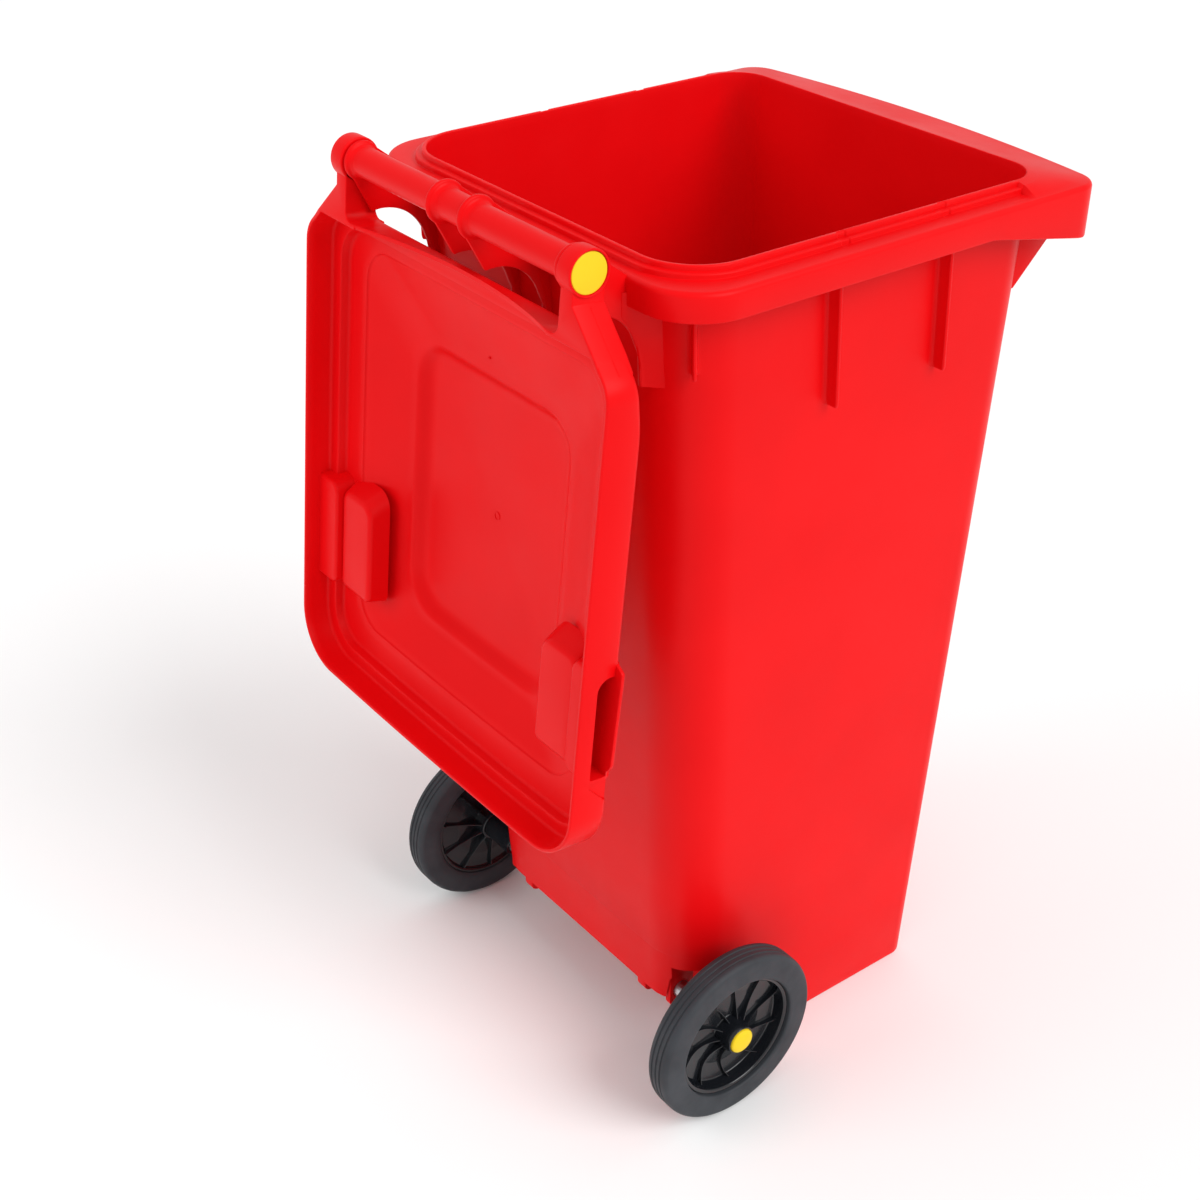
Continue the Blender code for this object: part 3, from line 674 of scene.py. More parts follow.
def make_tub():
    tub = add_mesh("tub_shell", loft(wall_rings() + rim_rings() + inner_rings()))
    inside = [body_ring(0.0025, WALL / 2), body_ring(0.10, WALL / 2), body_ring(0.24, WALL / 2)]
    for body in (plate(bay_outline(WALL), across, -0.30, 0.30), well_block(-1, WALL), well_block(1, WALL)):
        block = add_mesh("bay_skin", loft(inside))
        combine(block, add_mesh("tool", body), "INTERSECT")
        combine(tub, block, "UNION")
    combine(tub, add_mesh("tool", plate(bay_outline(0.0), across, -0.30, 0.30)), "DIFFERENCE")
    for side in (-1, 1):
        combine(tub, add_mesh("tool", well_block(side, 0.0)), "DIFFERENCE")
    finish_piece(tub, "red_plastic", "root", ["tub"])


def corner_sag(z, x, corner):
    """How far a rounded corner sets the front or rear wall back at that distance from the middle."""
    radius = tub_corner(z, corner)
    past = max(abs(x) - (tub_size(z)[0] - radius), 0.0)
    return radius - sqrt(radius ** 2 - past ** 2)


def rear_wall(z, x):
    """Where the rear wall is at a height and a distance from the middle."""
    return tub_size(z)[2] - corner_sag(z, x, REAR_CORNER)


def rib_section(width, depth, root, flare):
    """A rib's section as (across, out): a flared root, straight sides and a rounded tip."""
    half = width / 2
    points = [(half + flare, -root), (half + flare, 0.0), (half + flare * 0.42, 0.0004),
              (half + flare * 0.14, 0.0014), (half, 0.0034), (half * 0.94, depth - half)]
    for k in range(1, 5):
        angle = pi / 2 * k / 4
        points.append((half * cos(angle), depth - half + half * sin(angle)))
    return points + [(-a, b) for a, b in reversed(points[:-1])]


def upright_rib(foot, direction, depths, wall):
    """A rib up to the rim, from wall(z) out in a direction; depths are at its foot and its top."""
    rings = []
    turn = Vector((-direction.y, direction.x, 0.0))
    height = RIB_TOP - foot
    levels = [(0.0, 0.45), (0.0010, 0.72), (0.0024, 0.90), (0.0045, 1.0)]
    levels += [(0.0045 + (height - 0.0045) * k / 6, 1.0) for k in range(1, 7)]
    for up, share in levels:
        depth = mix(*depths, up / height) * (0.85 + 0.15 * share)
        section = rib_section(PLATE * (0.6 + 0.4 * share), depth, 0.003, 0.0050 * share)
        root = wall(foot + up)
        rings.append([root + turn * a + direction * out for a, out in section])
    return loft(rings)


def side_rib(side, y, bottom):
    """An upright rib below the rim's skirt, which leans back a little."""
    def wall(z):
        return Vector((side * tub_size(z)[0], y + SIDE_RIB_LEAN * (z - bottom - SIDE_RIB_PIVOT), z))

    return upright_rib(bottom, Vector((side, 0.0, 0.0)), SIDE_RIB_DEPTHS, wall)


def corner_rib(side):
    """The rib that stands out diagonally from each rear corner."""
    across_corner = cos(CORNER_RIB_ANGLE)
    back = sin(CORNER_RIB_ANGLE)

    def wall(z):
        half, _, rear = tub_size(z)
        radius = tub_corner(z, REAR_CORNER)
        return Vector((side * (half - radius + radius * across_corner), rear - radius + radius * back, z))

    return upright_rib(CORNER_RIB_FOOT, Vector((side * across_corner, back, 0.0)), CORNER_RIB_DEPTHS, wall)


def comb_rib(x):
    """A three-cornered rib under the comb at the front."""
    low = tub_size(COMB_RIB_FOOT)[1] + corner_sag(COMB_RIB_FOOT, x, FRONT_CORNER)
    high = tub_size(RIB_TOP)[1] + corner_sag(RIB_TOP, x, FRONT_CORNER)
    outline = [(low + 0.002, COMB_RIB_FOOT), (low - 0.001, COMB_RIB_FOOT),
               (COMB_END - 0.002, COMB_BOTTOM - 0.009), (COMB_END - 0.002, RIB_TOP), (high + 0.002, RIB_TOP)]
    return plate(outline, across, x - PLATE / 2, x + PLATE / 2, 0.0008)


def bracket(x, ring_radius):
    """A hinge bracket from the rim and rear wall out to the ring round the handle bar."""
    top = RIM_TOP - 0.001
    ring = arc((HINGE.y, HINGE.z), ring_radius, radians(140), radians(-50), 28)
    arch = arc(ARCH_CENTRE, ARCH_RADIUS, radians(80), radians(164), 16)
    low = rear_wall(BRACKET_FOOT, x) - WALL / 2
    high = rear_wall(RIM_TOP, x) - WALL / 2
    outline = [(0.2235, top)] + [tuple(point) for point in ring + arch]
    outline += [(0.2090, ARCH_FOOT), (BRACKET_EDGE, BRACKET_FOOT), (low, BRACKET_FOOT), (high, top)]
    return plate(outline, across, x - PLATE / 2, x + PLATE / 2, 0.0009)


def bracket_wedge(side):
    """The flared root of an outer bracket, from its outer face back to the rear wall."""
    near = COLLAR_X - PLATE / 2 + 0.0012
    face = COLLAR_X + PLATE / 2
    rings = []
    for z in (BRACKET_FOOT, 0.850, ARCH_FOOT, 0.880, 0.892, 0.904, 0.914, 0.926):
        edge = BRACKET_EDGE
        if z >= ARCH_FOOT:
            reach = sqrt(max(ARCH_RADIUS ** 2 - (z - ARCH_CENTRE[1]) ** 2, 0.0))
            edge = min(max(ARCH_CENTRE[0] - reach - 0.001, BRACKET_EDGE), 0.2300)
        wall = rear_wall(z, WEDGE_X)
        section = [(near, rear_wall(z, near) - 0.003), (near, edge - 0.0010), (face - 0.0012, edge),
                   (face + 0.0004, edge - 0.0008), (face + 0.0016, edge - 0.0030),
                   (WEDGE_X, wall - 0.0005), (WEDGE_X, wall - 0.003)]
        rings.append([Vector((side * x, y, z)) for x, y in section])
    return loft(rings)


def handle_bar():
    """The turned bar with a soft collar at each end and two soft rings over the centre brackets."""
    before = CENTRE_RING_X - PLATE / 2 - 0.0010
    after = CENTRE_RING_X + PLATE / 2 + 0.0010
    collar = BAR_END - COLLAR_WIDTH
    bore = PIN_RADIUS + 0.001
    profile = [(before - 0.004, BAR_RADIUS), (before, BAR_RADIUS + 0.002),
               (before + 0.001, CENTRE_RING_RADIUS), (after - 0.001, CENTRE_RING_RADIUS),
               (after, BAR_RADIUS + 0.002), (after + 0.004, BAR_RADIUS),
               (collar - 0.004, BAR_RADIUS), (collar, BAR_RADIUS + 0.0015), (collar + 0.0008, COLLAR_RADIUS),
               (BAR_END, COLLAR_RADIUS), (BAR_END, bore), (BAR_END - 0.010, bore)]
    whole = [(-x, r) for x, r in reversed(profile)] + profile
    body = turned(soften(whole, 0.0018, 4), 1, 72)
    bmesh.ops.translate(body, verts=body.verts, vec=HINGE)
    return body


def axle_hook(side, x, width, rear):
    """A plate from the axle bay's roof that goes round the axle and meets the rear strip, as its own mesh."""
    roof = HOUSING_ROOF + 0.002
    low = HOOK_BOTTOM + HOOK_CORNER
    outline = [(HOOK_FRONT, roof)]
    for centre, start in ((HOOK_FRONT + HOOK_CORNER, pi), (rear - HOOK_CORNER, 1.5 * pi)):
        outline += [tuple(point) for point in arc((centre, low), HOOK_CORNER, start, start + pi / 2, 8)]
    outline.append((rear, roof))
    hook = add_mesh("hook", plate(outline, across, side * x - width / 2, side * x + width / 2, 0.0010))
    bore = turned([(x - width, AXLE_RADIUS + GAP), (x + width, AXLE_RADIUS + GAP)], side, 32)
    bmesh.ops.translate(bore, verts=bore.verts, vec=Vector((0.0, AXLE.y, AXLE.z)))
    combine(hook, add_mesh("tool", bore), "DIFFERENCE")
    made = bmesh.new()
    made.from_mesh(hook.data)
    bpy.data.objects.remove(hook, do_unlink=True)
    return made


def make_tub_details():
    ribs = []
    brackets = []
    hooks = []
    for side in (-1, 1):
        ribs += [side_rib(side, y, bottom) for y, bottom in SIDE_RIBS]
        ribs.append(corner_rib(side))
        ribs += [comb_rib(side * x) for x in COMB_RIBS]
        brackets.append(bracket(side * CENTRE_RING_X, CENTRE_RING_RADIUS - 0.001))
        brackets.append(bracket(side * COLLAR_X, COLLAR_RADIUS - 0.001))
        brackets.append(bracket_wedge(side))
        hooks.append(axle_hook(side, HOOK_X, HOOK_WIDTH, HOOK_REAR))
        hooks.append(axle_hook(side, END_HOOK_X, END_HOOK_WIDTH, END_HOOK_REAR))
    finish_piece(merged("tub_ribs", ribs), "red_plastic", "root")
    finish_piece(merged("handle_brackets", brackets), "red_plastic", "root")
    finish_piece(add_mesh("handle_bar", handle_bar()), "red_plastic", "root")
    finish_piece(merged("axle_hooks", hooks), "red_plastic", "root")


# Lid


LID_PLACE = Matrix.Translation(HINGE) @ Matrix.Rotation(LID_TILT, 4, "X")
LID_EDGE_STEPS = 14
LID_CORNER_STEPS = 26
LID_SIDE_STEPS = 30


def lid_loop(half, start, end, free_radius, hinge_radius, chamfer):
    """From the middle of the free edge round one side to the middle of the hinge edge, as (x, s)."""
    reach = min(0.062, half * 0.45, (end - start) * 0.22)
    edge = [Vector((0.0, end)), Vector((half - reach, end))]
    low_side = Vector((half, end - reach))
    run = [edge[1]] + bend(edge[1], Vector((half, end)), low_side, free_radius, 20) + [low_side]
    points = resample(edge, LID_EDGE_STEPS)[:-1] + resample(run, LID_CORNER_STEPS)
    bow = LID_BOW * min(half / LID_HALF_WIDTH, 1.0)
    points = [Vector((point.x, point.y + bow * (1 - (point.x / half) ** 2))) for point in points]
    high_side = Vector((half, start + reach))
    hinge_edge = Vector((half - reach, start))
    points += resample([low_side, high_side], LID_SIDE_STEPS)[1:-1]
    if chamfer:
        upper = Vector((half, start + chamfer))
        inner = Vector((half - chamfer, start))
        run = bend(high_side, upper, inner, CHAMFER_RADII[0], 12)
        run += bend(upper, inner, hinge_edge, CHAMFER_RADII[1], 8)
    else:
        run = bend(high_side, Vector((half, start)), hinge_edge, hinge_radius, 20)
    points += resample([high_side] + run + [hinge_edge], LID_CORNER_STEPS)
    return points + resample([hinge_edge, Vector((0.0, start))], LID_EDGE_STEPS)[1:]


def lid_ring(inset, n, hinge_inset=None, free_inset=None, radius=None, hinge_radius=0.035):
    """A ring of the lid at an inset from its outline; the insets at the two ends may differ."""
    start = LID_START + (inset if hinge_inset is None else hinge_inset)
    end = LID_END - (inset if free_inset is None else free_inset)
    corner = max(LID_CORNER - inset, 0.035) if radius is None else radius
    chamfer = LID_CHAMFER - inset * 0.586 if inset < 0.016 else 0.0
    loop = lid_loop(LID_HALF_WIDTH - inset, start, end, corner, hinge_radius, chamfer)
    ring = [in_lid(x, s, lid_level(x, s, n, inset)) for x, s in loop]
    return ring + [Vector((-point.x, point.y, point.z)) for point in reversed(ring[1:-1])]


def lid_level(x, s, n, inset):
    """Lowers the skirt in an arc between the arms, and thins the edge towards the hinge corners."""
    if inset > SKIRT_WIDTH:
        return n
    if n < -0.015:
        return n + HINGE_THINNING * (1 - smooth_step((s - 0.070) / 0.060))
    arched = min(HINGE_SKIRT + HINGE_SKIRT_RISE * x * x, SKIRT_EDGE)
    limit = mix(arched, SKIRT_EDGE, smooth_step((s - 0.066) / 0.008))
    knee = limit - 0.001
    if n > knee:
        return knee + 0.001 * (n - knee) / max(SKIRT_EDGE - knee, 1e-6)
    return n


def smooth_step(share):
    share = min(max(share, 0.0), 1.0)
    return share * share * (3 - 2 * share)


# Insets from the lid's outline: the dome's side, hinge end and free end, and the crown's side and hinge end.
DOME = (0.1145, 0.1060, 0.0960)
CROWN_EDGE = (0.0530, 0.0362)


def dome_ring(grow, n, radius):
    """A ring of the dome, grown outwards or inwards from its outline."""
    return lid_ring(DOME[0] - grow, n, DOME[1] - grow, DOME[2] - grow, radius, radius)


def crown_rings(edge_n, dome_n, count=8):
    """The sloping band between the edge of the panel and the dome."""
    first = lid_ring(CROWN_EDGE[0], edge_n, CROWN_EDGE[1])
    last = dome_ring(0.006, dome_n, 0.042)
    rings = []
    for k in range(1, count):
        share = k / count
        level = mix(edge_n, dome_n, share ** 0.92)
        ring = [a.lerp(b, share) for a, b in zip(first, last)]
        rings.append([Vector((point.x, level, point.z)) for point in ring])
    return rings


def dome_rings(edge_n, floor_n, middle_n):
    """Over the rounded edge of the dome, down its side and in over its crowned floor."""
    rings = []
    for grow, down in ((0.006, 0.0), (0.0035, 0.015), (0.0015, 0.06), (0.0, 0.14), (-0.0020, 0.28),
                       (-0.0045, 0.50), (-0.0072, 0.72), (-0.0100, 0.87), (-0.0135, 0.96), (-0.0180, 1.0)):
        rings.append(dome_ring(grow, mix(edge_n, floor_n, down), 0.040 + min(grow, 0.0)))
    first = rings[-1]
    centre = sum(first, Vector()) / len(first)
    for share in (0.12, 0.25, 0.4, 0.55, 0.7, 0.82, 0.91, 0.97):
        level = mix(floor_n, middle_n, 1 - (1 - share) ** 2)
        ring = [point.lerp(centre, share) for point in first]
        rings.append([Vector((point.x, level, point.z)) for point in ring])
    return rings


def lid_inside():
    """The inner face, from the skirt's edge in to the middle of the dome."""
    rings = []
    for inset, down in ((0.0, 0.0013), (0.0004, 0.0005), (0.0012, 0.0), (0.0026, 0.0), (0.0034, 0.0004),
                        (0.0039, 0.0013)):
        rings.append(lid_ring(inset, SKIRT_EDGE - down))
    for inset, n in ((0.0042, 0.0060), (0.0050, -0.0098), (0.0054, -0.0112), (0.0064, -0.0123),
                     (0.0080, -0.0128), (0.0140, -0.0131), (0.0176, -0.0133), (0.0185, -0.0137),
                     (0.0191, -0.0147), (0.0199, -0.0205), (0.0205, -0.0217), (0.0216, -0.0225),
                     (0.0240, -0.0228)):
        rings.append(lid_ring(inset, n))
    for inset, hinge, n in ((0.0400, 0.0290, -0.0229), (0.0490, 0.0330, -0.0230), (0.0500, 0.0338, -0.0233),
                            (0.0506, 0.0343, -0.0243), (0.0514, 0.0350, -0.0249), (*CROWN_EDGE, -0.0252)):
        rings.append(lid_ring(inset, n, hinge))
    return rings + crown_rings(-0.0252, -0.0430) + dome_rings(-0.0430, -0.0545, -0.0580)


def lid_outside():
    """The outer face, from the skirt's edge in to the middle of the dome."""
    rings = []
    for inset, n in ((0.0, -0.0100), (0.0002, -0.0200), (0.0008, -0.0220), (0.0020, -0.0236),
                     (0.0040, -0.0247), (0.0070, -0.0254), (0.0180, -0.0264), (0.0300, -0.0272)):
        rings.append(lid_ring(inset, n))
    rings.append(lid_ring(CROWN_EDGE[0], -0.0285, CROWN_EDGE[1]))
    return rings + crown_rings(-0.0285, -0.0470) + dome_rings(-0.0470, -0.0600, -0.0626)


def rounded_top(base, middle, top, radius):
    """A block's (growth, level) steps: flared at its base, then in over its rounded top edge."""
    levels = [base, middle]
    for k in range(7):
        angle = pi / 2 * k / 6
        levels.append((radius * (cos(angle) - 1), top - radius + radius * sin(angle)))
    return levels


def inner_block(side):
    """The deeper part of a grip's housing, rounded on all four corners so that it stands by itself."""
    base = -0.0290
    top = -0.0072
    rings = []
    for grow, n in rounded_top((0.0028, base), (0.0010, mix(base, top, 0.45)), top, 0.0055):
        start = GRIP_START - 0.001 + 0.009 * smooth_step((n - base) / (top - base)) - grow
        low = GRIP_INNER - 0.004 - grow
        high = GRIP_MIDDLE - 0.0005 + min(grow, 0.0)
        end = GRIP_END + 0.001 + grow
        corners = [(low, start), (high, start), (high, end), (low, end)]
        outline = fillet(corners, (0.016 + grow, 0.010, 0.006, 0.008 + grow), 8)
        rings.append([in_lid(side * x, s, n) for x, s in outline])
    return loft(rings)


def outer_block(side):
    """The part of the housing beside the skirt, which the finger space goes through."""
    base = -0.0262
    top = -0.0012
    outer = LID_HALF_WIDTH - 0.0028
    rings = []
    for grow, n in rounded_top((0.0016, base), (0.0006, mix(base, top, 0.5)), top, 0.0035):
        start = GRIP_START + 0.003 * smooth_step((n - base) / (top - base)) - grow
        inner = GRIP_MIDDLE + 0.0002 - grow
        end = GRIP_END + grow
        corners = [(inner, start), (outer, start), (outer, end), (inner, end)]
        outline = fillet(corners, (0.012 + grow, 0, 0, 0.0096 + grow), 8)
        rings.append([in_lid(side * x, s, n) for x, s in outline])
    return loft(rings)


def pocket(side):
    """The finger space, open to the side, with a long rounded upper corner."""
    corners = [(-0.0208, 0.345), (-0.0026, 0.345), (-0.0028, 0.4475), (-0.0208, 0.4475)]
    outline = fillet(corners, (0.001, 0.0135, 0.0025, 0.001), 8)
    rings = []
    for x, ceiling in ((0.28, 0.0), (0.2306, 0.0), (0.2290, -0.0060), (GRIP_MIDDLE + 0.0035, -0.0070)):
        rings.append([in_lid(side * x, s, min(n, ceiling)) for n, s in outline])
    return loft(rings)


def edge_notch(side):
    """The piece left out of the lid's edge below a grip, with a long rounded lower corner."""
    corners = [(-0.040, 0.4505), (-0.0028, 0.4505), (-0.0028, 0.4560), (-0.0225, 0.4740), (-0.040, 0.4740)]
    outline = fillet(corners, (0, 0.0010, 0.0030, 0.0060, 0), 8)
    return plate(outline, lambda n, s, x: in_lid(x, s, n), side * 0.2302, side * 0.26)


def flap(side):
    """The thin edge over a grip that stands out from the lid's side."""
    edge = LID_HALF_WIDTH
    inner = edge - 0.028
    corners = [(edge - 0.010, 0.334), (edge - 0.001, 0.334), (edge + GRIP_LIP, 0.3395),
               (edge + GRIP_LIP, 0.352), (edge + 0.0052, 0.437), (edge - 0.0060, 0.4500),
               (inner, 0.4500), (inner, 0.345)]
    radii = (0, 0.004, 0.004, 0.012, 0.010, 0.004, 0, 0)
    return plate(fillet([(side * x, s) for x, s in corners], radii, 5), in_lid, -0.0244, -0.0206, 0.0010)


def arm(side):
    """A hinge arm: straight below the lug, then flared along the lid's chamfer to the bend of its side."""
    root = LID_START + 0.0044
    pad = LID_START + 0.0002
    radius = 0.009
    foot = LID_START + LID_CHAMFER - 0.0090
    outer = LUG_OUTER - 0.0015
    outline = [tuple(point) for point in arc((LUG_INNER - radius, pad - radius), radius, pi / 2, 0.0, 8)]
    outline += [(LUG_INNER, -0.006), (outer, -0.006), (outer, outer - CHAMFER_LINE)]
    outline += [(CHAMFER_LINE + foot - 0.0118, foot - 0.0122), (CHAMFER_LINE + foot - 0.0008, foot + 0.0008)]
    outline += [(CHAMFER_LINE + foot - 0.0058, foot + 0.0004), (CHAMFER_LINE + root - 0.0062, root)]
    outline += [(ARM_ROOT, root), (ARM_ROOT, pad)]
    return plate([(side * x, s) for x, s in outline], in_lid, ARM_DEPTH, SKIRT_EDGE + 0.0001, 0.0010, 3)


def arm_line(side):
    """The fine raised line along the middle of an arm's outer face."""
    middle = (ARM_DEPTH + SKIRT_EDGE) / 2 - 0.001
    rings = []
    for s, high in ((0.0275, -0.0004), (0.0285, 0.0005), (0.045, 0.0005), (0.060, 0.0005),
                    (0.0705, 0.0005), (0.0715, -0.0004)):
        ring = []
        for n, out in ((-0.0016, -0.0008), (-0.0007, high), (0.0007, high), (0.0016, -0.0008)):
            ring.append(in_lid(side * (CHAMFER_LINE + s + out * 0.7), s - out * 0.7, middle + n))
        rings.append(ring)
    return loft(rings)


def lug(side):
    """The disc at the end of an arm, with a recess for the pin's head."""
    bore = PIN_RADIUS + 0.0006
    recess = PIN_HEAD_RADIUS + 0.0005
    floor = PIN_HEAD_INNER - 0.0004
    profile = [(LUG_INNER, bore), (LUG_INNER, LUG_RADIUS), (LUG_OUTER, LUG_RADIUS), (LUG_OUTER, recess),
               (floor, recess), (floor, bore)]
    return turned(soften(profile, 0.0014, 4, ends=True), side, 72, closed=True)


def mark_ring(s, n, radius, width, height):
    """A low ring left by the mould, standing on the dome's floor."""
    rings = []
    for depth, r in ((-0.001, radius - width), (height * 0.6, radius - width), (height, radius - width / 2),
                     (height * 0.6, radius), (-0.001, radius)):
        rings.append([in_lid(r * c, s + r * t, n + depth) for c, t in circle(32)])
    return loft(rings, closed=True)


def make_lid():
    lid = add_mesh("lid_shell", loft(list(reversed(lid_inside())) + lid_outside()))
    parts = []
    for side in (-1, 1):
        combine(lid, add_mesh("tool", outer_block(side)), "UNION")
        combine(lid, add_mesh("tool", inner_block(side)), "UNION")
        combine(lid, add_mesh("tool", pocket(side)), "DIFFERENCE")
        combine(lid, add_mesh("tool", edge_notch(side)), "DIFFERENCE")
        parts += [arm(side), arm_line(side), lug(side), flap(side)]
    finish_piece(lid, "red_plastic", "lid", ["lid"], LID_PLACE)
    finish_piece(merged("lid_arms", parts), "red_plastic", "lid", place=LID_PLACE)
    marks = [mark_ring(0.302, -0.0579, 0.0045, 0.0012, 0.0006)]
    marks.append(mark_ring(0.140, -0.0385, 0.0016, 0.0010, 0.0005))
    finish_piece(merged("lid_mould_marks", marks), "red_plastic", "lid", place=LID_PLACE)


# ---------------------------------------------------------------- pins and wheels


def make_pin(label, side):
    profile = [(PIN_INNER, 0.0005), (PIN_INNER, PIN_RADIUS - 0.0015), (PIN_INNER + 0.002, PIN_RADIUS),
               (PIN_HEAD_INNER, PIN_RADIUS), (PIN_HEAD_INNER, PIN_HEAD_RADIUS),
               (PIN_HEAD_OUTER, PIN_HEAD_RADIUS), (PIN_HEAD_OUTER + 0.0002, 0.0005)]
    made = add_mesh("pin_" + label, turned(soften(profile, 0.0009, 4), side, 72))
    finish_piece(made, "yellow_plastic", "root", ["hinge_pin_" + label], Matrix.Translation(HINGE))


def tyre_profile():
    """The tyre's section in distance along X and radius, with three grooves round the tread."""
    seat = TYRE_INNER_RADIUS
    inner = TYRE_INNER_FACE
    outer = TYRE_OUTER_FACE
    middle = (inner + outer) / 2
    points = [(inner + 0.0020, seat), (outer - 0.0030, seat), (outer - 0.0012, seat + 0.0004),
              (outer - 0.0002, seat + 0.0016), (outer, seat + 0.0040), (outer - 0.0002, 0.0840),
              (outer - 0.0006, 0.0900)]
    shoulder = [pi / 2 * k / 8 for k in range(1, 8)]
    for angle in shoulder:
        points.append((outer - 0.0006 - 0.0064 * (1 - cos(angle)), 0.0930 + 0.0068 * sin(angle)))
    for offset in (0.0062, 0.0, -0.0062):
        for shift, drop in ((0.0013, 0.0), (0.0009, 0.0009), (0.0004, 0.0014), (-0.0004, 0.0014),
                            (-0.0009, 0.0009), (-0.0013, 0.0)):
            points.append((middle + offset + shift, WHEEL_RADIUS - drop))
    for angle in reversed(shoulder):
        points.append((inner + 0.0006 + 0.0064 * (1 - cos(angle)), 0.0930 + 0.0068 * sin(angle)))
    return points + [(inner + 0.0006, 0.0900), (inner, 0.0840), (inner, seat + 0.0030)]


def centre_profile():
    """The wheel centre's section: hub, dished web and the band that carries the tyre."""
    band = TYRE_INNER_RADIUS - GAP
    seat = CAP_CROWN - 0.0030
    root = HUB_RADIUS + 0.0015
    return [(HUB_INNER_FACE, BUSH_RADIUS), (HUB_OUTER_FACE, BUSH_RADIUS), (HUB_OUTER_FACE, CAP_SEAT),
            (seat, CAP_SEAT), (seat, CAP_SEAT + 0.0014), (HUB_OUTER_FACE, HUB_RADIUS + 0.0004),
            (WEB + 0.0045, root), (WEB + 0.0015, 0.045), (WEB + 0.0040, band - 0.0060),
            (TYRE_OUTER_FACE - 0.0060, band - 0.0040), (TYRE_OUTER_FACE - 0.0045, band),
            (TYRE_INNER_FACE + 0.0030, band), (TYRE_INNER_FACE + 0.0040, band - 0.0040),
            (WEB, band - 0.0055), (WEB - 0.0025, 0.045), (WEB + 0.0005, root), (HUB_INNER_FACE, HUB_RADIUS)]


def radial_rib(side, sections):
    """A rib along a wheel's radius; a section is an angle, a radius and (half width, level) points."""
    rings = []
    for angle, radius, points in sections:
        out = Vector((cos(angle), sin(angle))) * radius
        turn = Vector((-sin(angle), cos(angle)))
        ring = []
        for wide, level in points + [(-wide, level) for wide, level in reversed(points)]:
            flat = out + turn * wide
            ring.append(Vector((side * level, flat.x, flat.y)))
        rings.append(ring)
    return loft(rings)


def inner_spoke(side, index):
    """A straight rib on the wheel's inner face, from the hub to the band."""
    angle = 2 * pi * (index + 0.5) / SPOKES
    sections = []
    for share, rise in ((0.0, 0.0030), (0.3, 0.0075), (0.7, 0.0105), (1.0, 0.0110)):
        level = HUB_INNER_FACE + rise
        points = [(0.0014, WEB - 0.0005), (0.0009, level + 0.0006), (0.0005, level)]
        sections.append((angle, mix(*SPOKE_REACH, share), points))
    return radial_rib(side, sections)


def spoke(side, index):
    """A thin rib that curves from the hub to the band on the wheel's outer face."""
    sections = []
    for k in range(13):
        share = k / 12
        angle = 2 * pi * index / SPOKES + side * SPOKE_SWEEP * share ** 1.5
        top = HUB_OUTER_FACE - 0.0045 - 0.0070 * sin(pi * share) - 0.0045 * share
        points = [(0.0016, WEB - 0.0005), (0.0008, WEB + 0.0025), (0.0006, top - 0.0006), (0.0003, top)]
        sections.append((angle, mix(*SPOKE_REACH, share), points))
    return radial_rib(side, sections)


def cap_profile():
    crown = CAP_CROWN
    mouth = HUB_OUTER_FACE + GAP
    return [(crown - 0.0024, 0.0006), (crown - 0.0028, CAP_BORE - 0.0015), (crown - 0.0040, CAP_BORE),
            (mouth, CAP_BORE), (mouth, CAP_RADIUS), (crown - 0.0022, CAP_RADIUS),
            (crown - 0.0012, CAP_RADIUS - 0.0006), (crown - 0.0004, CAP_RADIUS - 0.0022),
            (crown - 0.0001, CAP_RADIUS / 2), (crown, 0.0006)]


def make_wheel(label, side):
    body = "wheel_" + label
    place = Matrix.Translation(Vector((0.0, AXLE.y, AXLE.z)))
    tyre = add_mesh("tyre_band_" + label, turned(tyre_profile(), side, 144, closed=True))
    finish_piece(tyre, "tyre_rubber", body, ["tyre_" + label], place, 50.0)
    parts = [turned(soften(centre_profile(), 0.0012, 3, ends=True), side, 96, closed=True)]
    for index in range(SPOKES):
        parts += [spoke(side, index), inner_spoke(side, index)]
    centre = merged("wheel_disc_" + label, parts)
    finish_piece(centre, "black_plastic", body, ["wheel_centre_" + label], place)
    cap = add_mesh("cap_" + label, turned(cap_profile(), side, 72))
    finish_piece(cap, "yellow_plastic", body, ["hub_cap_" + label], place, 50.0)


def finish_cad_nodes():
    """The pieces that keep their CAD shape get a procedural finish."""
    finishes = {"axle": "zinc_steel"}
    for label in ("left", "right"):
        finishes["axle_spacer_" + label] = "black_plastic"
        finishes["wheel_bush_" + label] = "bearing_nylon"
        finishes["thrust_washer_" + label] = "zinc_steel"
        finishes["lock_ring_" + label] = "zinc_steel"
    for name, slot in finishes.items():
        node_object = frame["nodes"][name]
        node_object.data.materials.clear()
        node_object.data.materials.append(MATERIALS[slot])


# Studio


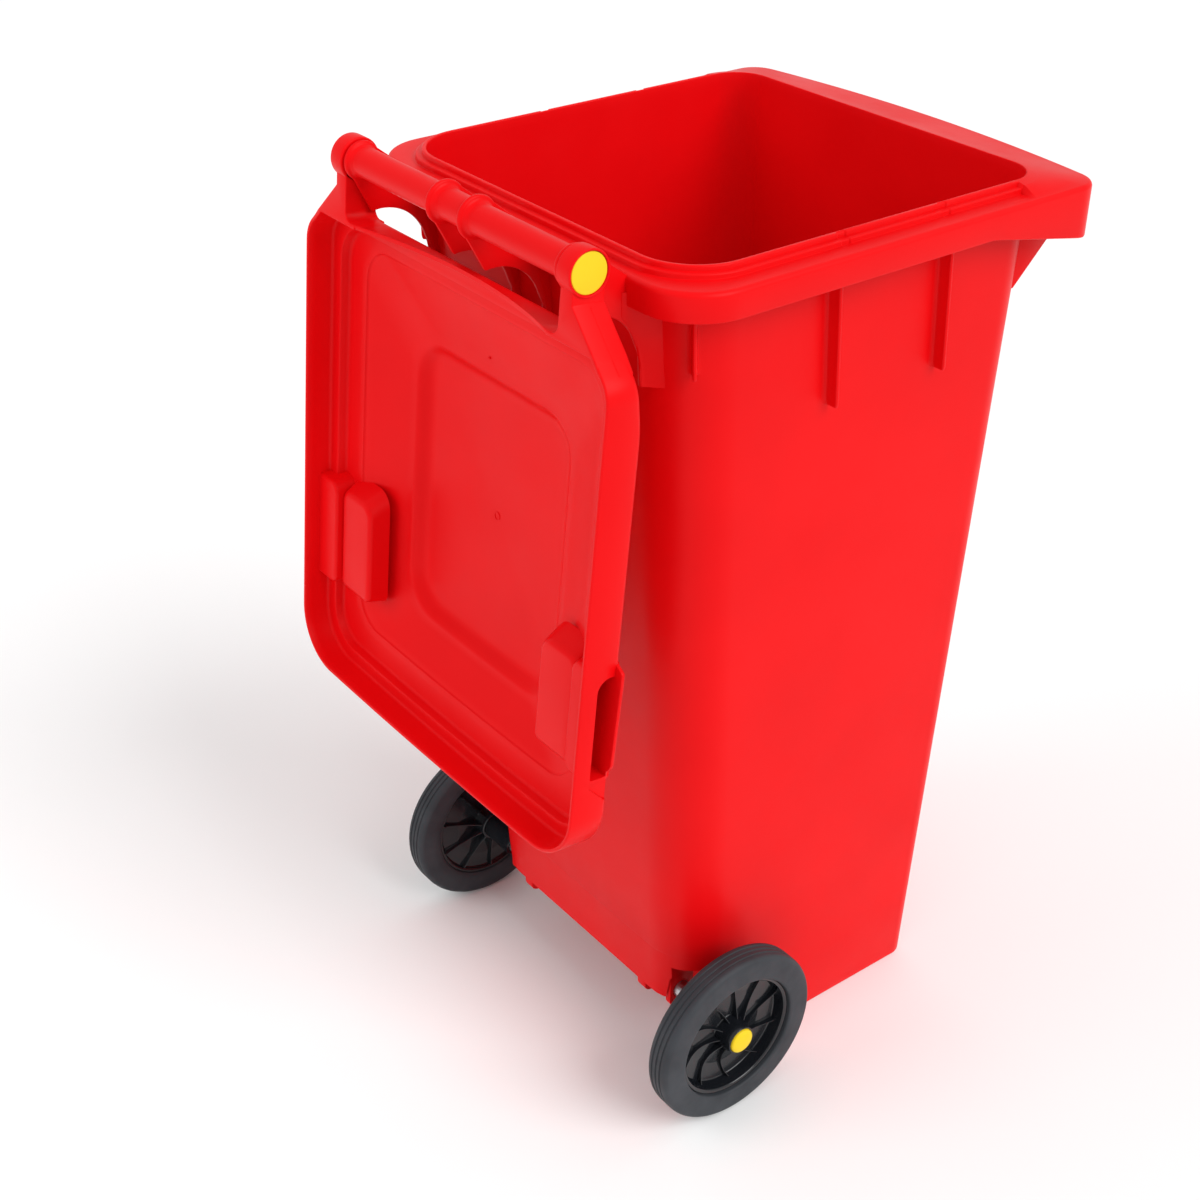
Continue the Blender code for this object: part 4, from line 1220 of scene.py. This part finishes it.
def make_camera():
    """The camera at the photo's angle, found by solving the photo's view against the real sizes."""
    place = Vector((-1.28735, 1.11865, 1.50803))
    forward = Vector((0.67575, -0.52209, -0.52037)).normalized()
    level = forward.cross(Vector((0.0, 0.0, 1.0))).normalized()
    above = level.cross(forward)
    roll = 0.0083
    right = level * cos(roll) + above * sin(roll)
    up = above * cos(roll) - level * sin(roll)
    camera = bpy.data.cameras.new("camera")
    camera.sensor_width = 36.0
    camera.lens = 56.46
    camera.clip_end = 60.0
    made = add_object("camera", camera)
    turn = Matrix((right, up, -forward)).transposed().to_4x4()
    made.matrix_world = Matrix.Translation(place) @ turn
    bpy.context.scene.camera = made


def rear_fill(place, goal, size, power):
    """A large soft light from behind the bin, which no gloss reflects."""
    light = bpy.data.lights.new("rear_fill", "AREA")
    light.shape = "DISK"
    light.size = size
    light.energy = power
    made = add_object("rear_fill", light)
    made.location = place
    made.rotation_euler = (Vector(goal) - Vector(place)).to_track_quat("-Z", "Y").to_euler()
    made.visible_glossy = False


def key_sun(direction, strength, spread):
    """A soft, even light that comes from a direction."""
    light = bpy.data.lights.new("key", "SUN")
    light.energy = strength
    light.angle = spread
    made = add_object("key", light)
    made.rotation_euler = Vector(direction).to_track_quat("Z", "Y").to_euler()


def make_floor():
    size = 14.0
    steps = 28
    marks = [mix(-size, size, k / steps) for k in range(steps + 1)]
    body = bmesh.new()
    rows = [[body.verts.new((x, y, 0.0)) for y in marks] for x in marks]
    for low, high in zip(rows, rows[1:]):
        for j in range(steps):
            body.faces.new((low[j], high[j], high[j + 1], low[j + 1]))
    floor = add_mesh("floor", body)
    floor.data.materials.append(floor_finish())


def make_studio():
    world = bpy.data.worlds.new("studio")
    bpy.context.scene.world = world
    world.use_nodes = True
    sky = world.node_tree.nodes["Background"]
    sky.inputs["Color"].default_value = (1.0, 1.0, 1.0, 1.0)
    sky.inputs["Strength"].default_value = 0.74
    key_sun((-0.75, -0.22, 0.64), 1.95, radians(42))
    rear_fill((0.9, 3.0, 2.5), (0.0, 0.1, 0.6), 2.2, 34.0)
    make_floor()
    make_camera()


MATERIALS = make_materials()
bpy.context.scene.view_settings.view_transform = "Standard"
make_tub()
make_tub_details()
make_lid()
for wheel_label, wheel_side in (("right", -1), ("left", 1)):
    make_pin(wheel_label, wheel_side)
    make_wheel(wheel_label, wheel_side)
finish_cad_nodes()
make_studio()
